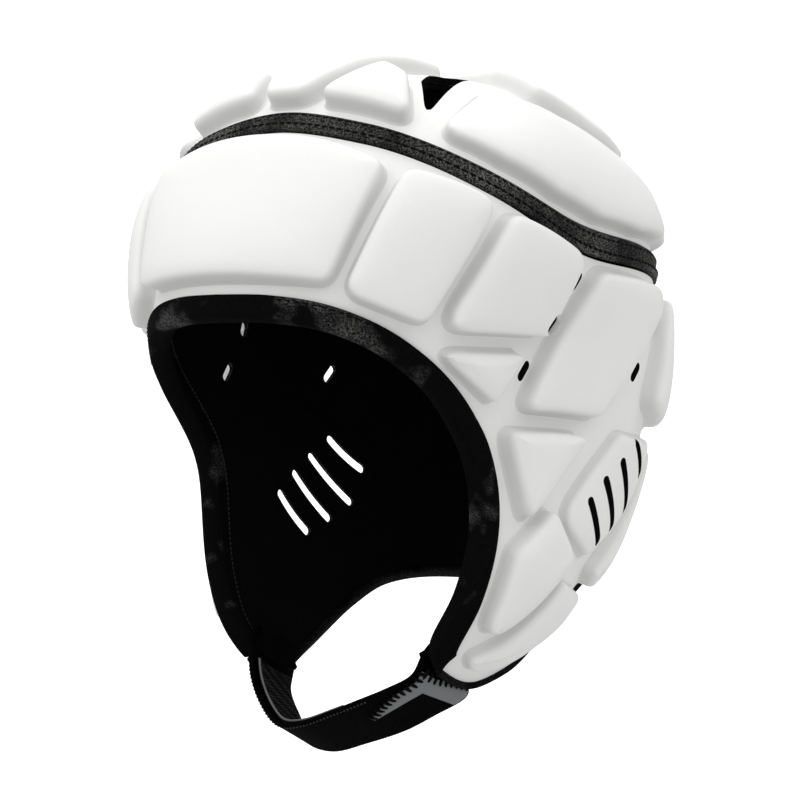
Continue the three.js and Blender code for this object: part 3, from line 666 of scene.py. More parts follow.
@made_once
def foam_material(name, colour):
    """Moulded foam skin with painted shade: darker where the pad's painted_shade attribute marks its wall and
    foot, standing in for the shade there.
    """
    material, shader = new_material(name, colour, 0.48)
    tree = material.node_tree
    grain = tree.nodes.new("ShaderNodeGroup")
    grain.node_tree = foam_grain_group()
    grain.inputs["Tint"].default_value = (*colour, 1)
    grain.inputs["Shade"].default_value = (*(0.94 * c for c in colour), 1)
    # Painted shade: the foam is darkened towards a dark tone where the pad marks its wall and foot.
    painted_shade = tree.nodes.new("ShaderNodeAttribute")
    painted_shade.attribute_name = "painted_shade"
    shaded_tint = mix_colour(tree, painted_shade.outputs["Fac"], grain.outputs["Color"], tuple(0.12 * c for c in colour))
    link(tree, shaded_tint, shader.inputs["Base Color"])
    link(tree, bump_node(tree, grain.outputs["Height"], 0.0005, 0.35), shader.inputs["Normal"])
    shader.inputs["Sheen Weight"].default_value = 0.05
    return material


def napped_cloth_group():
    """Brushed loop cloth: short pale fibres standing out of a dark ground, thicker in patches."""
    found = bpy.data.node_groups.get("napped_cloth")
    if found:
        return found
    group, entry, leave = new_group("napped_cloth", [
        ("Fibre Scale", "NodeSocketFloat", 1500.0),
        ("Patch Scale", "NodeSocketFloat", 60.0),
        ("Patch Floor", "NodeSocketFloat", 0.45),
        ("Patch Gain", "NodeSocketFloat", 8.0),
        ("Ground", "NodeSocketColor", (0.01, 0.01, 0.01, 1)),
        ("Fibre", "NodeSocketColor", (0.12, 0.12, 0.12, 1)),
    ], [("Color", "NodeSocketColor"), ("Height", "NodeSocketFloat")])
    fibres = noise_node(group, entry.outputs["Fibre Scale"], 3.0, 0.7)
    sharp = math_node(group, "MULTIPLY", math_node(group, "SUBTRACT", fibres, 0.42), 4.5)
    sharp.node.use_clamp = True
    patches = noise_node(group, entry.outputs["Patch Scale"], 3.0, 0.6)
    dense = math_node(group, "SUBTRACT", patches, entry.outputs["Patch Floor"])
    dense = math_node(group, "MULTIPLY", dense, entry.outputs["Patch Gain"])
    dense.node.use_clamp = True
    amount = math_node(group, "MULTIPLY", sharp, dense)
    colour = mix_colour(group, amount, entry.outputs["Ground"], entry.outputs["Fibre"])
    link(group, colour, leave.inputs["Color"])
    link(group, fibres, leave.inputs["Height"])
    return group


@made_once
def napped_material(name, ground, fibre, patch_scale, patch_floor, patch_gain):
    """Brushed cloth; the patch values set the size, spread and edge of its paler areas."""
    material, shader = new_material(name, ground, 0.95)
    tree = material.node_tree
    nap = tree.nodes.new("ShaderNodeGroup")
    nap.node_tree = napped_cloth_group()
    nap.inputs["Ground"].default_value = (*ground, 1)
    nap.inputs["Fibre"].default_value = (*fibre, 1)
    nap.inputs["Patch Scale"].default_value = patch_scale
    nap.inputs["Patch Floor"].default_value = patch_floor
    nap.inputs["Patch Gain"].default_value = patch_gain
    link(tree, nap.outputs["Color"], shader.inputs["Base Color"])
    link(tree, bump_node(tree, nap.outputs["Height"], 0.0006, 0.8), shader.inputs["Normal"])
    shader.inputs["Specular IOR Level"].default_value = 0.03
    return material


@made_once
def woven_material(name, colour, pitch, lift=0.6):
    """Flat woven cloth; the piece's own UV map runs along and across it in metres."""
    material, shader = new_material(name, colour, 0.85)
    tree = material.node_tree
    place = tree.nodes.new("ShaderNodeUVMap").outputs["UV"]
    split = tree.nodes.new("ShaderNodeSeparateXYZ")
    link(tree, place, split.inputs[0])
    turn = 2 * math.pi / pitch
    warp = math_node(tree, "SINE", math_node(tree, "MULTIPLY", split.outputs[0], turn))
    weft = math_node(tree, "SINE", math_node(tree, "MULTIPLY", split.outputs[1], turn))
    weave = math_node(tree, "MULTIPLY", warp, weft)
    fuzz = noise_node(tree, 1500.0, 3.0)
    height = math_node(tree, "MULTIPLY_ADD", weave, 0.5)
    height.node.inputs[2].default_value = 0.5
    height = math_node(tree, "ADD", height, math_node(tree, "MULTIPLY", fuzz, 0.6))
    dark = tuple(0.55 * c for c in colour)
    pale = tuple(1.5 * c for c in colour)
    amount = math_node(tree, "MULTIPLY", height, 0.6)
    link(tree, mix_colour(tree, amount, dark, pale), shader.inputs["Base Color"])
    link(tree, bump_node(tree, height, 0.0003, lift), shader.inputs["Normal"])
    shader.inputs["Specular IOR Level"].default_value = 0.02
    return material


@made_once
def ribbed_material(name, colour, crest_highlight, pitch):
    """Elastic webbing with its crests across its length painted paler, a painted highlight where light
    catches the ribs.
    """
    material, shader = new_material(name, colour, 0.8)
    tree = material.node_tree
    place = tree.nodes.new("ShaderNodeUVMap").outputs["UV"]
    split = tree.nodes.new("ShaderNodeSeparateXYZ")
    link(tree, place, split.inputs[0])
    wave = math_node(tree, "SINE", math_node(tree, "MULTIPLY", split.outputs[0], 2 * math.pi / pitch))
    # Painted highlight: a pale line painted along each rib crest.
    line = math_node(tree, "MULTIPLY", math_node(tree, "SUBTRACT", wave, 0.35), 2.0)
    line.node.use_clamp = True
    fuzz = math_node(tree, "MULTIPLY", line, noise_node(tree, 1200.0, 2.0))
    link(tree, mix_colour(tree, fuzz, colour, crest_highlight), shader.inputs["Base Color"])
    link(tree, bump_node(tree, wave, 0.0003, 0.6), shader.inputs["Normal"])
    shader.inputs["Specular IOR Level"].default_value = 0.05
    return material


@made_once
def knit_material(name, colour):
    """Fine knitted lining: tight rows of small loops."""
    material, shader = new_material(name, colour, 0.97)
    tree = material.node_tree
    cells = tree.nodes.new("ShaderNodeTexVoronoi")
    cells.inputs["Scale"].default_value = 900.0
    link(tree, tree.nodes.new("ShaderNodeTexCoord").outputs["Object"], cells.inputs["Vector"])
    slow = noise_node(tree, 40.0, 2.0)
    amount = math_node(tree, "MULTIPLY", cells.outputs["Distance"], slow)
    pale = tuple(2.4 * c for c in colour)
    link(tree, mix_colour(tree, amount, colour, pale), shader.inputs["Base Color"])
    link(tree, bump_node(tree, cells.outputs["Distance"], 0.0003, 0.5), shader.inputs["Normal"])
    shader.inputs["Specular IOR Level"].default_value = 0.02
    return material


@made_once
def thread_material(name, colour):
    material, shader = new_material(name, colour, 0.7)
    tree = material.node_tree
    twist = noise_node(tree, 2500.0, 2.0)
    dark = tuple(0.6 * c for c in colour)
    link(tree, mix_colour(tree, twist, dark, tuple(1.3 * c for c in colour)), shader.inputs["Base Color"])
    link(tree, bump_node(tree, twist, 0.0002, 0.5), shader.inputs["Normal"])
    shader.inputs["Specular IOR Level"].default_value = 0.03
    return material


@made_once
def reflective_material(name, colour):
    """Grey reflective cloth with a fine speckle."""
    material, shader = new_material(name, colour, 0.55)
    tree = material.node_tree
    speckle = noise_node(tree, 1800.0, 2.0)
    dark, pale = tuple(0.8 * c for c in colour), tuple(1.2 * c for c in colour)
    link(tree, mix_colour(tree, speckle, dark, pale), shader.inputs["Base Color"])
    link(tree, bump_node(tree, speckle, 0.0001, 0.4), shader.inputs["Normal"])
    return material


def add_stitches(bm, centres, alongs, ups, size):
    """Adds one rounded stitch at each centre, lying along its own direction."""
    for centre, along, up in zip(centres, alongs, ups):
        x = Vector(along).normalized()
        z = (Vector(up) - x * x.dot(Vector(up))).normalized()
        place = Matrix((x, z.cross(x), z)).transposed().to_4x4()
        place.translation = Vector(in_frame(centre))
        scale = Matrix.Diagonal((size[0] / 2 * MM, size[1] / 2 * MM, size[2] / 2 * MM, 1))
        bmesh.ops.create_uvsphere(bm, u_segments=8, v_segments=5, radius=1.0, matrix=place @ scale)


def even(points, pitch, closed=False):
    """Places at an even pitch along a line of points: positions and the line's direction there."""
    line = np.concatenate([points, points[:1]]) if closed else points
    run = np.concatenate([[0], np.cumsum(np.linalg.norm(np.diff(line, axis=0), axis=1))])
    count = int(run[-1] / pitch)
    at = (np.arange(count) + 0.5) * run[-1] / count

    def place(s):
        return np.stack([np.interp(s, run, line[:, axis]) for axis in range(3)], axis=-1)

    return place(at), place(np.minimum(at + 0.3, run[-1])) - place(np.maximum(at - 0.3, 0))


def resampled(values, count):
    """Directions given evenly along a line, read at another number of places."""
    given, wanted = np.linspace(0, 1, len(values)), np.linspace(0, 1, count)
    return np.stack([np.interp(wanted, given, values[:, i]) for i in range(3)], axis=-1)


def sewn_row(name, line, pitch, size, thread, ups=None):
    """A row of stitches as a piece; ups are given along the line or are the form's normal."""
    centres, alongs = even(line, pitch)
    bm = bmesh.new()
    ups = normal_at(centres) if ups is None else resampled(ups, len(centres))
    add_stitches(bm, centres, alongs, ups, size)
    return make_piece(name, bm, thread)


# The strap.
def seat(k, side):
    foot, normal, outwards = rim_frame(np.array([k]))
    point = (foot + outwards * SEAT_PAST + normal * SEAT_LIFT)[0]
    return point * [side, 1, 1]


SEAT_BOW = seat((SEAT_FRONT + SEAT_REAR) / 2, 1) - (seat(SEAT_FRONT, 1) + seat(SEAT_REAR, 1)) / 2
STRAP_EDGES = {
    "front": np.array([seat(SEAT_FRONT, 1), *STRAP_FRONT, seat(SEAT_FRONT, -1)]),
    "rear": np.array([seat(SEAT_REAR, 1), *STRAP_REAR, seat(SEAT_REAR, -1)]),
}
STRAP_ROWS = len(STRAP_FRONT) + 1


def strap_point(along, across):
    front = spline(STRAP_EDGES["front"], along * STRAP_ROWS)
    rear = spline(STRAP_EDGES["rear"], along * STRAP_ROWS)
    bow = np.maximum(0, 1 - STRAP_ROWS * np.minimum(along, 1 - along)) * 4 * across * (1 - across)
    sag = np.where(along[..., None] > 0.5, SEAT_BOW * [-1, 1, 1], SEAT_BOW)
    return front + (rear - front) * across[..., None] + sag * bow[..., None]


def over_strap(along, across, lift):
    along, across, lift = np.broadcast_arrays(along, across, lift)
    along, across = along.astype(float), across.astype(float)
    step, side = 0.004, 0.02
    before, after = np.maximum(along - step, 0), np.minimum(along + step, 1)
    low, high = np.maximum(across - side, 0), np.minimum(across + side, 1)
    ahead = strap_point(after, across) - strap_point(before, across)
    wide = strap_point(along, high) - strap_point(along, low)
    return strap_point(along, across) + unit(np.cross(ahead, wide)) * lift[..., None]


def tucked(side):
    """Strap ends carried on up inside the flap, from its front edge to its rear one."""
    stations = np.linspace(SEAT_FRONT, SEAT_REAR, 9)
    foot, normal, outwards = rim_frame(stations)
    rows = []
    for past, lift in ((SEAT_PAST, SEAT_LIFT + 0.2), (3.4, -4.9), (1.2, -7.4), (-2.0, -8.4), (-7.0, -8.6)):
        rows.append((foot + outwards * past + normal * lift) * [side, 1, 1])
    rows = np.array(rows)
    inside = rows - (normal * [side, 1, 1]) * 1.6
    closed = np.concatenate([rows, inside[::-1], rows[:1]])
    return sheet(closed, wrap=True)


def ribbon(along, low, high, margin=0.0, ribs=0.0, rib_pitch=1.6):
    """A closed flat ribbon on the strap's surface, between two heights, with rounded edges."""
    turn = np.linspace(-math.pi / 2, math.pi / 2, 7)
    mid, half = (low + high) / 2, (high - low) / 2
    flat = np.linspace(margin, 1 - margin, 25)
    edge = half / WEAVE_WIDTH
    right = [(1 - margin - edge + edge * math.cos(a), mid + half * math.sin(a)) for a in turn]
    left = [(margin + edge - edge * math.cos(a), mid - half * math.sin(a)) for a in turn]
    inner = [(x, high) for x in flat[1:-1][::-1]]
    outer = [(x, low) for x in flat[1:-1]]
    section = np.array(outer + right + inner + left)
    a, c = np.meshgrid(along, section[:, 0], indexing="ij")
    lift = np.broadcast_to(section[:, 1], a.shape).copy()
    if ribs:
        length = a * WEAVE_LENGTH
        wave = np.clip(np.sin(2 * math.pi * (length + 5 * c) / rib_pitch), -0.4, 1)
        lift += np.where(lift < mid, -1, 1) * ribs * wave * ((c > margin + 0.06) & (c < 1 - margin - 0.06))
    rings = over_strap(a, c, lift)
    u = np.concatenate([[0], along, [1]]) * WEAVE_LENGTH
    v = np.concatenate([section[:, 0], section[:1, 0]]) * WEAVE_WIDTH
    uv = np.stack(np.meshgrid(u, v, indexing="ij"), axis=-1)
    return tube(list(rings), uv)


def length_setting(name, description, default, low, high):
    return bpy.props.FloatProperty(
        name=name, description=description, default=default, min=low, max=high,
        unit="LENGTH", subtype="DISTANCE")


def colour_setting(name, description, default):
    return bpy.props.FloatVectorProperty(
        name=name, description=description, default=default, min=0.0, max=1.0, subtype="COLOR")


class ScrumCapSettings(bpy.types.PropertyGroup):
    pad_height: length_setting("Pad Height", "Height of the foam pads over the shell", 0.0072, 0.002, 0.015)
    ear_pad_height: length_setting("Ear Pad Height", "Height of the slotted pad", 0.0034, 0.002, 0.015)
    pad_crown: length_setting("Pad Crown", "Rise of a pad's middle over its shoulder", 0.0007, 0.0, 0.004)
    stitch_pitch: length_setting("Stitch Pitch", "From one stitch to the next", 0.0032, 0.001, 0.01)
    foam_colour: colour_setting("Foam", "Colour of the moulded foam", (0.88, 0.88, 0.87))
    lining_colour: colour_setting("Lining", "Colour of the knitted lining", (0.0035, 0.0035, 0.0035))
    cloth_colour: colour_setting("Cloth", "Ground colour of the band and binding", (0.003, 0.003, 0.003))
    fibre_colour: colour_setting("Fibre", "Colour of the cloth's raised fibres", (0.07, 0.07, 0.068))
    strap_colour: colour_setting("Strap", "Colour of the chin strap", (0.0014, 0.0014, 0.0015))
    patch_colour: colour_setting("Patch", "Colour of the reflective patch", (0.17, 0.175, 0.18))


def settings():
    return bpy.context.scene.scrum_cap


def all_cutters():
    bm = slit_cutters(EAR_SLITS, EAR_SLIT_WIDTH, EAR_SLIT_BOW, EAR_SLIT_LEAN)
    other = slit_cutters(SIDE_SLITS, SIDE_SLIT_WIDTH, 0.0, SIDE_SLIT_LEAN)
    mesh = bpy.data.meshes.new("slits")
    other.to_mesh(mesh)
    other.free()
    bm.from_mesh(mesh)
    bpy.data.meshes.remove(mesh)
    return bm


def vent_cutters():
    corners, lift = flat_frame(VENT)
    outline = filleted(corners, 2.5, 2.0)
    bm = bmesh.new()
    near = lift(outline) * 0.7
    far = lift(outline) * 1.3
    verts = [[bm.verts.new(in_frame(p)) for p in ring] for ring in (near, far)]
    edges = [[bm.edges.new((ring[i - 1], ring[i])) for i in range(len(ring))] for ring in verts]
    bmesh.ops.bridge_loops(bm, edges=edges[0] + edges[1])
    for ring in verts:
        bm.faces.new(ring)
    return both_sides(bm)


def grid_of(way, k, shares):
    """Directions of a grid of columns k at some shares of their way down."""
    return way(*np.broadcast_arrays(k[None], shares[:, None]))


def closed_sheet(directions, high, low):
    """A sheet of even thickness: its outer face, round the edge, and back along its inner face."""
    last = directions.shape[0] - 1
    order = list(range(last + 1)) + list(range(last, -1, -1)) + [0]
    lifts = [high] * (last + 1) + [low] * (last + 1) + [high]
    points = np.stack([over(directions[i], lift) for i, lift in zip(order, lifts)])
    return sheet(points, wrap=True)


class SCRUMCAP_OT_shell(bpy.types.Operator):
    """Moulds the thin foam shell below and above the seam band, with its slits and vents"""

    bl_idname = "scrum_cap.shell"
    bl_label = "Shell"

    def execute(self, context):
        foam = foam_material("moulded_foam", tuple(settings().foam_colour))
        k = np.linspace(0, COLUMNS, 161)
        grid = grid_of(lower_direction, k, np.linspace(0, 1, 46))
        piece = make_piece("shell_lower_foam", closed_sheet(grid, 0.0, -SHELL), foam, ["shell_lower"])
        knit = knit_material("knitted_lining", tuple(settings().lining_colour))
        cutters = all_cutters()
        # Painted shade: the cut walls of the slits in the white foam take the dark lining's finish, standing
        # in for the shade inside the slits.
        cut(piece, cutters, knit)
        cutters.free()
        grid = grid_of(crown_direction, k, np.linspace(0, 1, 30))
        piece = make_piece("shell_crown_foam", closed_sheet(grid, 0.0, -SHELL), foam, ["shell_crown"])
        cutters = vent_cutters()
        cut(piece, cutters, knit)
        cutters.free()
        return {"FINISHED"}


class SCRUMCAP_OT_lining(bpy.types.Operator):
    """Lines the shell with dark knitted cloth, cut by the same slits and vents"""

    bl_idname = "scrum_cap.lining"
    bl_label = "Lining"

    def execute(self, context):
        knit = knit_material("knitted_lining", tuple(settings().lining_colour))
        k = np.linspace(0, COLUMNS, 121)
        grid = np.concatenate([
            grid_of(crown_direction, k, np.linspace(0, 1, 20)),
            grid_of(lower_direction, k, np.linspace(0, 1, 30)),
        ])
        top = -SHELL - LAYER_GAP
        piece = make_piece("lining_cloth", closed_sheet(grid, top, top - LINING), knit, ["lining"])
        for cutters in (all_cutters(), vent_cutters()):
            cut(piece, cutters)
            cutters.free()
        return {"FINISHED"}


class SCRUMCAP_OT_pads(bpy.types.Operator):
    """Moulds every foam pad with a soft foot, a rounded shoulder and a slightly crowned top"""

    bl_idname = "scrum_cap.pads"
    bl_label = "Pads"

    def execute(self, context):
        chosen = settings()
        foam = foam_material("moulded_foam", tuple(chosen.foam_colour))
        height, crown = chosen.pad_height / MM, chosen.pad_crown / MM
        for name, (corner_radius, corners) in CENTRE_PADS.items():
            bm = pad_mesh(corner_radius, corners, height, crown)
            piece = make_piece(f"{name}_foam", bm, foam, [name])
        for name, (corner_radius, corners) in PAIRED_PADS.items():
            for side, word in ((1, "left"), (-1, "right")):
                vent = (side * VENT_MIDDLE[0], VENT_MIDDLE[1])
                dip = (vent, *VENT_DIP) if name == DIPPED_PAD else None
                high = height * LOW_PADS.get(name, 1.0)
                bm = pad_mesh(corner_radius, [(side * a, e) for a, e in corners], high, crown, dip=dip)
                piece = make_piece(f"{name}_{word}_foam", bm, foam, [f"{name}_{word}"])
                if name in SLIT_PADS:
                    cutters = slit_cutters(SIDE_SLITS, SIDE_SLIT_WIDTH, 0.0, 0.0)
                    cut(piece, cutters)
                    cutters.free()
                if name == NOTCHED_PAD:
                    slits = [SIDE_SLITS[NOTCH_SLIT]]
                    notch = slit_cutters(slits, SIDE_SLIT_WIDTH, 0.0, NOTCH_LEAN, NOTCH_WAY)
                    cut(piece, notch)
                    notch.free()
        return {"FINISHED"}


class SCRUMCAP_OT_ear_pads(bpy.types.Operator):
    """Moulds the lower pad over each ear and cuts its four slits through"""

    bl_idname = "scrum_cap.ear_pads"
    bl_label = "Ear Pads"

    def execute(self, context):
        chosen = settings()
        foam = foam_material("moulded_foam", tuple(chosen.foam_colour))
        for side, word in ((1, "left"), (-1, "right")):
            corner_radius, corners = EAR_PAD
            turned = [(side * a, e) for a, e in corners]
            bm = pad_mesh(corner_radius, turned, chosen.ear_pad_height / MM, 0.3)
            piece = make_piece(f"pad_ear_{word}_foam", bm, foam, [f"pad_ear_{word}"])
            cutters = slit_cutters(EAR_SLITS, EAR_SLIT_WIDTH, EAR_SLIT_BOW, EAR_SLIT_LEAN)
            # Painted shade: the slits' cut walls in the foam take the dark lining's finish, for the shade
            # inside them.
            cut(piece, cutters, knit_material("knitted_lining", tuple(chosen.lining_colour)))
            cutters.free()
        return {"FINISHED"}


class SCRUMCAP_OT_band(bpy.types.Operator):
    """Sews the dark napped band round the seam, with a stitch row near each edge"""

    bl_idname = "scrum_cap.band"
    bl_label = "Seam Band"

    def execute(self, context):
        chosen = settings()
        fibre = tuple(3.2 * c for c in chosen.fibre_colour)
        nap = napped_material("napped_band", tuple(chosen.cloth_colour), fibre, 25.0, 0.25, 2.5)
        azimuth = np.linspace(-180, 180, 361)
        rows = []
        # The section, as (offset up the form, lift): up one rounded edge, over the top and down.
        half = BAND_WIDTH / 2 - BAND_GROOVE
        quarter = np.linspace(0, math.pi / 2, 5)
        edge = [(half - 0.6 + 0.6 * math.sin(a), 0.9 + 0.7 * math.cos(a)) for a in quarter]
        section = [(-x, y) for x, y in edge[::-1]]
        middle = np.linspace(-half + 1.2, half - 1.2, 9)
        section += [(x, BAND_PROUD - 0.25 * math.cos(2 * math.pi * x / 4.2) * (abs(x) < 3.2)) for x in middle]
        section += edge
        section += [(half - 0.2, -1.2), (half - 0.2, -SHELL), (-half + 0.2, -SHELL), (-half + 0.2, -1.2)]
        section.append(section[0])
        for offset, lift in section:
            rows.append(over(band_direction(azimuth, offset), lift))
        make_piece("seam_band_cloth", sheet(np.stack(rows), wrap=True), nap, ["seam_band"])
        thread = thread_material("dark_thread", DARK_THREAD)
        bm = bmesh.new()
        for offset, rise in ((-1.7, 0.15), (2.5, 0.0)):
            line = over(band_direction(azimuth[:-1], offset), BAND_PROUD + rise)
            centres, alongs = even(line, chosen.stitch_pitch / MM, closed=True)
            add_stitches(bm, centres, alongs, normal_at(centres), (3.0, 1.2, 0.9))
        make_piece("seam_band_stitches", bm, thread)
        return {"FINISHED"}


class SCRUMCAP_OT_binding(bpy.types.Operator):
    """Folds the dark binding over the rim of the face opening and sews it down"""

    bl_idname = "scrum_cap.binding"
    bl_label = "Face Binding"

    def execute(self, context):
        chosen = settings()
        fibre = tuple(1.9 * c for c in chosen.fibre_colour)
        nap = napped_material("napped_binding", tuple(chosen.cloth_colour), fibre, 30.0, 0.53, 8.0)
        k = np.linspace(-FLAP_CORNER, FLAP_CORNER, 221)
        foot, normal, outwards = rim_frame(k)
        inner = -SHELL - LAYER_GAP - LINING - BINDING_INNER_GAP
        top, bottom = BINDING_GAP + BINDING_THICK, inner - BINDING_THICK
        mid, reach = (top + bottom) / 2, (top - bottom) / 2
        # The section of the tape, as (distance past the rim, lift): out over the shell, round, and back.
        outer_line = [(-BINDING_REACH + x, BINDING_GAP + y) for x, y in (
            (0.25, 0.0), (0.0, 0.3), (0.0, 0.7), (0.25, 0.95))]
        outer_line += [
            (x, top + 0.15 * math.sin(math.pi * (x + BINDING_REACH) / BINDING_REACH))
            for x in (-5.8, -4.6, -3.2, -1.6)
        ]
        start, past = BINDING_FOLD
        fold = [
            (start + past * math.cos(a), mid + reach * math.sin(a))
            for a in np.linspace(math.pi / 2, -math.pi / 2, 13)
        ]
        inner_line = [(x, bottom) for x in (-1.6, -3.2, -4.8, -BINDING_REACH + 0.3)]
        inner_line += [(-BINDING_REACH, bottom + 0.5), (-BINDING_REACH + 0.3, inner)]
        back = [(x, inner) for x in (-4.8, -3.2, -1.6, PIECE_GAP)]
        back += [(PIECE_GAP, mid), (PIECE_GAP, BINDING_GAP)]
        back += [(x, BINDING_GAP) for x in (-1.6, -3.2, -4.8)]
        section = outer_line + fold + inner_line + back
        # Past the turn of the flap the tape runs out to a corner at the strap.
        kept = np.clip((FLAP_CORNER + 0.04 - np.abs(k)) / (FLAP_CORNER - BINDING_TURN), 0.0, 1.0)
        lines = []
        for past, lift in section:
            if past > 0:
                lines.append(foot + outwards * past + normal * lift)
            else:
                lines.append(over(foot + outwards * (past * kept)[:, None], lift))
        rings = np.stack(lines, axis=1)
        binding = make_piece("face_binding_cloth", tube(list(rings)), nap, ["face_binding"])
        thread = thread_material("dark_thread", DARK_THREAD)
        sewn = np.abs(k) < BINDING_TURN
        line = over(foot + outwards * (1.3 - BINDING_REACH), top + 0.1)[sewn]
        row = sewn_row(
            "face_binding_stitches", line, chosen.stitch_pitch / MM, (2.2, 0.7, 0.6), thread)
        line = over(foot + outwards * (0.8 - BINDING_REACH), bottom - 0.1)[sewn]
        thread = thread_material("grey_thread", GREY_THREAD)
        inside = sewn_row("face_binding_inner_stitches", line, 1.9, (1.5, 0.6, 0.5), thread)
        return {"FINISHED"}


class SCRUMCAP_OT_hem(bpy.types.Operator):
    """Runs the thin black trim along the lower edge of the flaps and the nape"""

    bl_idname = "scrum_cap.hem"
    bl_label = "Hem Trim"

    def execute(self, context):
        cloth = napped_material("hem_cloth", HEM_GROUND, HEM_FIBRE, 80.0, 0.4, 8.0)
        k = np.linspace(FLAP_CORNER + 0.1, COLUMNS - FLAP_CORNER - 0.1, 241)
        foot, normal, outwards = rim_frame(k)
        low = -SHELL - LAYER_GAP - LINING
        mid, half = low / 2, -low / 2
        lines = []
        for a in np.linspace(0, 2 * math.pi, 20, endpoint=False):
            across, up = (math.copysign(abs(v) ** 0.6, v) for v in (math.cos(a), math.sin(a)))
            past = PIECE_GAP + HEM_WIDTH / 2 + (HEM_WIDTH / 2 + 0.5) * across
            lift = mid + 0.7 + (half + 0.9) * up
            lines.append(foot + outwards * past + normal * lift)
        make_piece("hem_trim_cloth", tube(list(np.stack(lines, axis=1))), cloth, ["hem_trim"])
        return {"FINISHED"}


class SCRUMCAP_OT_strap(bpy.types.Operator):
    """Makes the chin strap, its ribbed elastic, the reflective patch and their stitching"""

    bl_idname = "scrum_cap.strap"
    bl_label = "Chin Strap"

    def execute(self, context):
        chosen = settings()
        webbing = woven_material("strap_webbing", tuple(chosen.strap_colour), 0.0011)
        ribbed = ribbed_material("ribbed_elastic", ELASTIC_GROUND, ELASTIC_CREST_HIGHLIGHT, 0.0019)
        whole = np.linspace(0, 1, 200)
        strap = make_piece("chin_strap_webbing", ribbon(whole, 0.0, 2.2), webbing, ["chin_strap"])
        along = np.linspace(*ELASTIC_SPAN, 330)
        bm = ribbon(along, -1.5, -0.3, margin=0.1, ribs=0.28)
        piece = make_piece("chin_elastic_ribbed", bm, ribbed, ["chin_elastic"])
        pale = thread_material("pale_edging", PALE_THREAD)
        line = over_strap(along, 0.1, -1.3)
        ups = unit(over_strap(along, 0.1, -2.3) - line)
        edging = sewn_row("elastic_edging", line, 0.9, (1.3, 0.9, 0.9), pale, ups)
        ends = [
            make_piece(f"strap_end_{word}", tucked(side), webbing)
            for side, word in ((1, "left"), (-1, "right"))
        ]
        grey = reflective_material("reflective_cloth", tuple(chosen.patch_colour))
        at = np.linspace(0, len(PATCH) - 1, 97)
        low = np.clip(np.floor(at).astype(int), 0, len(PATCH) - 2)
        t = (at - low)[:, None, None]
        edges = PATCH[low] * (1 - t) + PATCH[low + 1] * t
        across = np.linspace(0, 1, 6)
        rings = []
        for outer, inner in edges:
            path = outer + (inner - outer) * across[:, None]
            both = [(p, PATCH_TOP) for p in path] + [(p, PATCH_FOOT) for p in path[::-1]]
            rings.append(over_strap(*np.array([(*p, h) for p, h in both]).T))
        patch = make_piece("strap_patch_cloth", tube(rings), grey, ["strap_patch"])

        thread = thread_material("dark_thread", DARK_THREAD)
        bm = bmesh.new()
        rim = over_strap(edges[:, 0, 0], edges[:, 0, 1], PATCH_TOP)
        centres, alongs = even(rim, 2.6)
        nearest = [np.argmin(np.linalg.norm(rim - c, axis=1)) for c in centres]
        ups = np.array([over_strap(*edges[i, 0], PATCH_TOP + 0.8) - rim[i] for i in nearest])
        crosswise = np.cross(ups, alongs)
        add_stitches(bm, centres, crosswise, ups, (4.8, 1.5, 1.3))
        overlock = make_piece("patch_overlock", bm, thread)
        run = np.linspace(0.3, 0.97, 200)
        line = over_strap(run, 0.035, 2.25)
        ups = unit(over_strap(run, 0.035, 3.2) - line)
        thread = thread_material("grey_thread", GREY_THREAD)
        row = sewn_row("strap_edge_stitches", line, 1.6, (0.9, 0.6, 0.5), thread, ups)
        return {"FINISHED"}


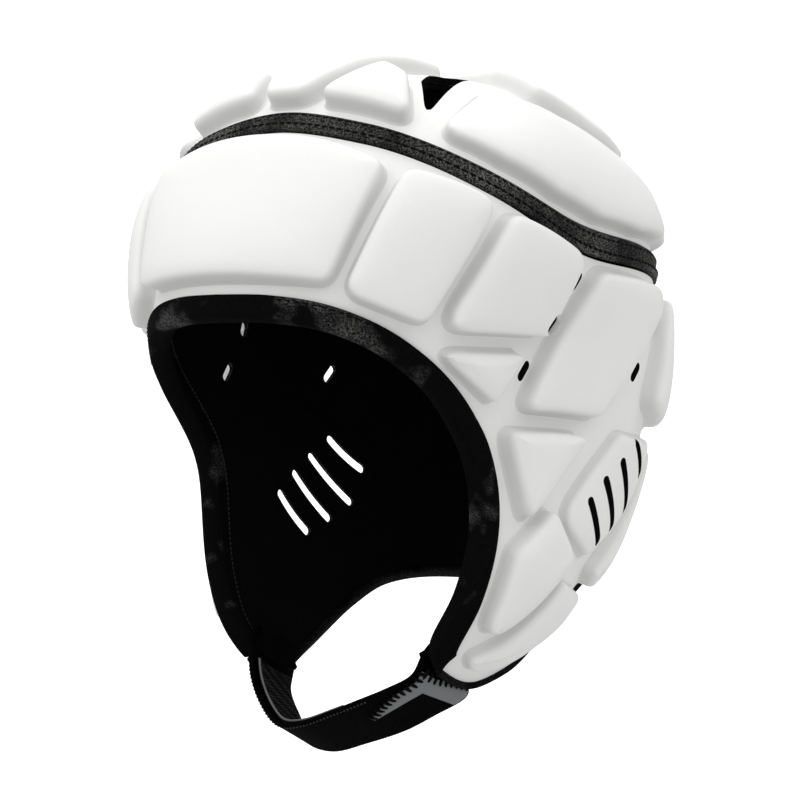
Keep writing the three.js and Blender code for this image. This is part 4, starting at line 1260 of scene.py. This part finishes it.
class SCRUMCAP_OT_stage(bpy.types.Operator):
    """Sets the pale floor that rises softly all round, the studio light and the camera"""

    bl_idname = "scrum_cap.stage"
    bl_label = "Stage"

    def execute(self, context):
        bm = bmesh.new()
        verts = [bm.verts.new((r, 0, FLOOR_HEIGHT + z)) for r, z in FLOOR_PROFILE]
        edges = [bm.edges.new(pair) for pair in zip(verts, verts[1:])]
        bmesh.ops.spin(
            bm, geom=verts + edges, cent=(0, 0, 0), axis=(0, 0, 1), angle=2 * math.pi, steps=96,
            use_merge=True)
        bmesh.ops.remove_doubles(bm, verts=bm.verts, dist=1e-5)
        bmesh.ops.recalc_face_normals(bm, faces=bm.faces)
        mesh = bpy.data.meshes.new("floor")
        bm.to_mesh(mesh)
        bm.free()
        mesh.shade_smooth()
        floor = bpy.data.objects.new("floor", mesh)
        context.scene.collection.objects.link(floor)
        paint, shader = new_material("pale_floor", (0.6, 0.6, 0.6), 0.9)
        # Seen straight on the floor is bright white, while it throws less light back at the cap.
        glow = paint.node_tree.nodes.new("ShaderNodeLightPath").outputs["Is Camera Ray"]
        lit = mix_colour(paint.node_tree, glow, (0.0, 0.0, 0.0), (0.8, 0.8, 0.8))
        link(paint.node_tree, lit, shader.inputs["Emission Color"])
        shader.inputs["Emission Strength"].default_value = 1.0
        mesh.materials.append(paint)

        world = bpy.data.worlds.new("studio")
        context.scene.world = world
        world.use_nodes = True
        world.node_tree.nodes["Background"].inputs["Color"].default_value = (1, 1, 1, 1)
        world.node_tree.nodes["Background"].inputs["Strength"].default_value = WORLD_STRENGTH
        for name, place, size, power in LAMPS:
            light = bpy.data.lights.new(name, "AREA")
            light.shape = "DISK"
            light.size = size
            light.energy = power
            lamp = bpy.data.objects.new(name, light)
            context.scene.collection.objects.link(lamp)
            lamp.location = place
            lamp.rotation_euler = (Vector(LAMP_TARGET) - lamp.location).to_track_quat("-Z", "Y").to_euler()

        turn = math.radians(CAMERA_AZIMUTH)
        back = Vector((math.sin(turn), -math.cos(turn), 0))
        right = Vector((math.cos(turn), math.sin(turn), 0))
        camera = bpy.data.cameras.new("camera")
        camera.sensor_width = 36.0
        camera.lens = CAMERA_LENS
        camera.clip_start = 0.05
        camera.clip_end = 20.0
        eye = bpy.data.objects.new("camera", camera)
        context.scene.collection.objects.link(eye)
        middle = Vector((0, 0, -HEAD_HEIGHT * MM))
        eye.location = middle + back * CAMERA_AWAY + right * CAMERA_RIGHT - Vector((0, 0, CAMERA_DOWN))
        eye.rotation_euler = (-back).to_track_quat("-Z", "Y").to_euler()
        context.scene.camera = eye
        context.scene.view_settings.view_transform = "Standard"
        return {"FINISHED"}


class SCRUMCAP_PT_panel(bpy.types.Panel):
    """Lists the pieces of the scrum cap"""

    bl_idname = "SCRUMCAP_PT_panel"
    bl_label = "Scrum Cap"
    bl_space_type = "VIEW_3D"
    bl_region_type = "UI"
    bl_category = "Scrum Cap"

    def draw(self, context):
        layout = self.layout
        for name in ScrumCapSettings.__annotations__:
            layout.prop(context.scene.scrum_cap, name)
        for step in STEPS:
            layout.operator(step.bl_idname)


STEPS = (
    SCRUMCAP_OT_stage,
    SCRUMCAP_OT_shell,
    SCRUMCAP_OT_lining,
    SCRUMCAP_OT_pads,
    SCRUMCAP_OT_ear_pads,
    SCRUMCAP_OT_band,
    SCRUMCAP_OT_binding,
    SCRUMCAP_OT_hem,
    SCRUMCAP_OT_strap,
)
CLASSES = (ScrumCapSettings, *STEPS, SCRUMCAP_PT_panel)


def register():
    for cls in CLASSES:
        bpy.utils.register_class(cls)
    bpy.types.Scene.scrum_cap = bpy.props.PointerProperty(type=ScrumCapSettings)


def unregister():
    del bpy.types.Scene.scrum_cap
    for cls in reversed(CLASSES):
        bpy.utils.unregister_class(cls)


def main():
    register()
    for step in STEPS:
        group, name = step.bl_idname.split(".")
        getattr(getattr(bpy.ops, group), name)()


if __name__ == "__main__":
    main()
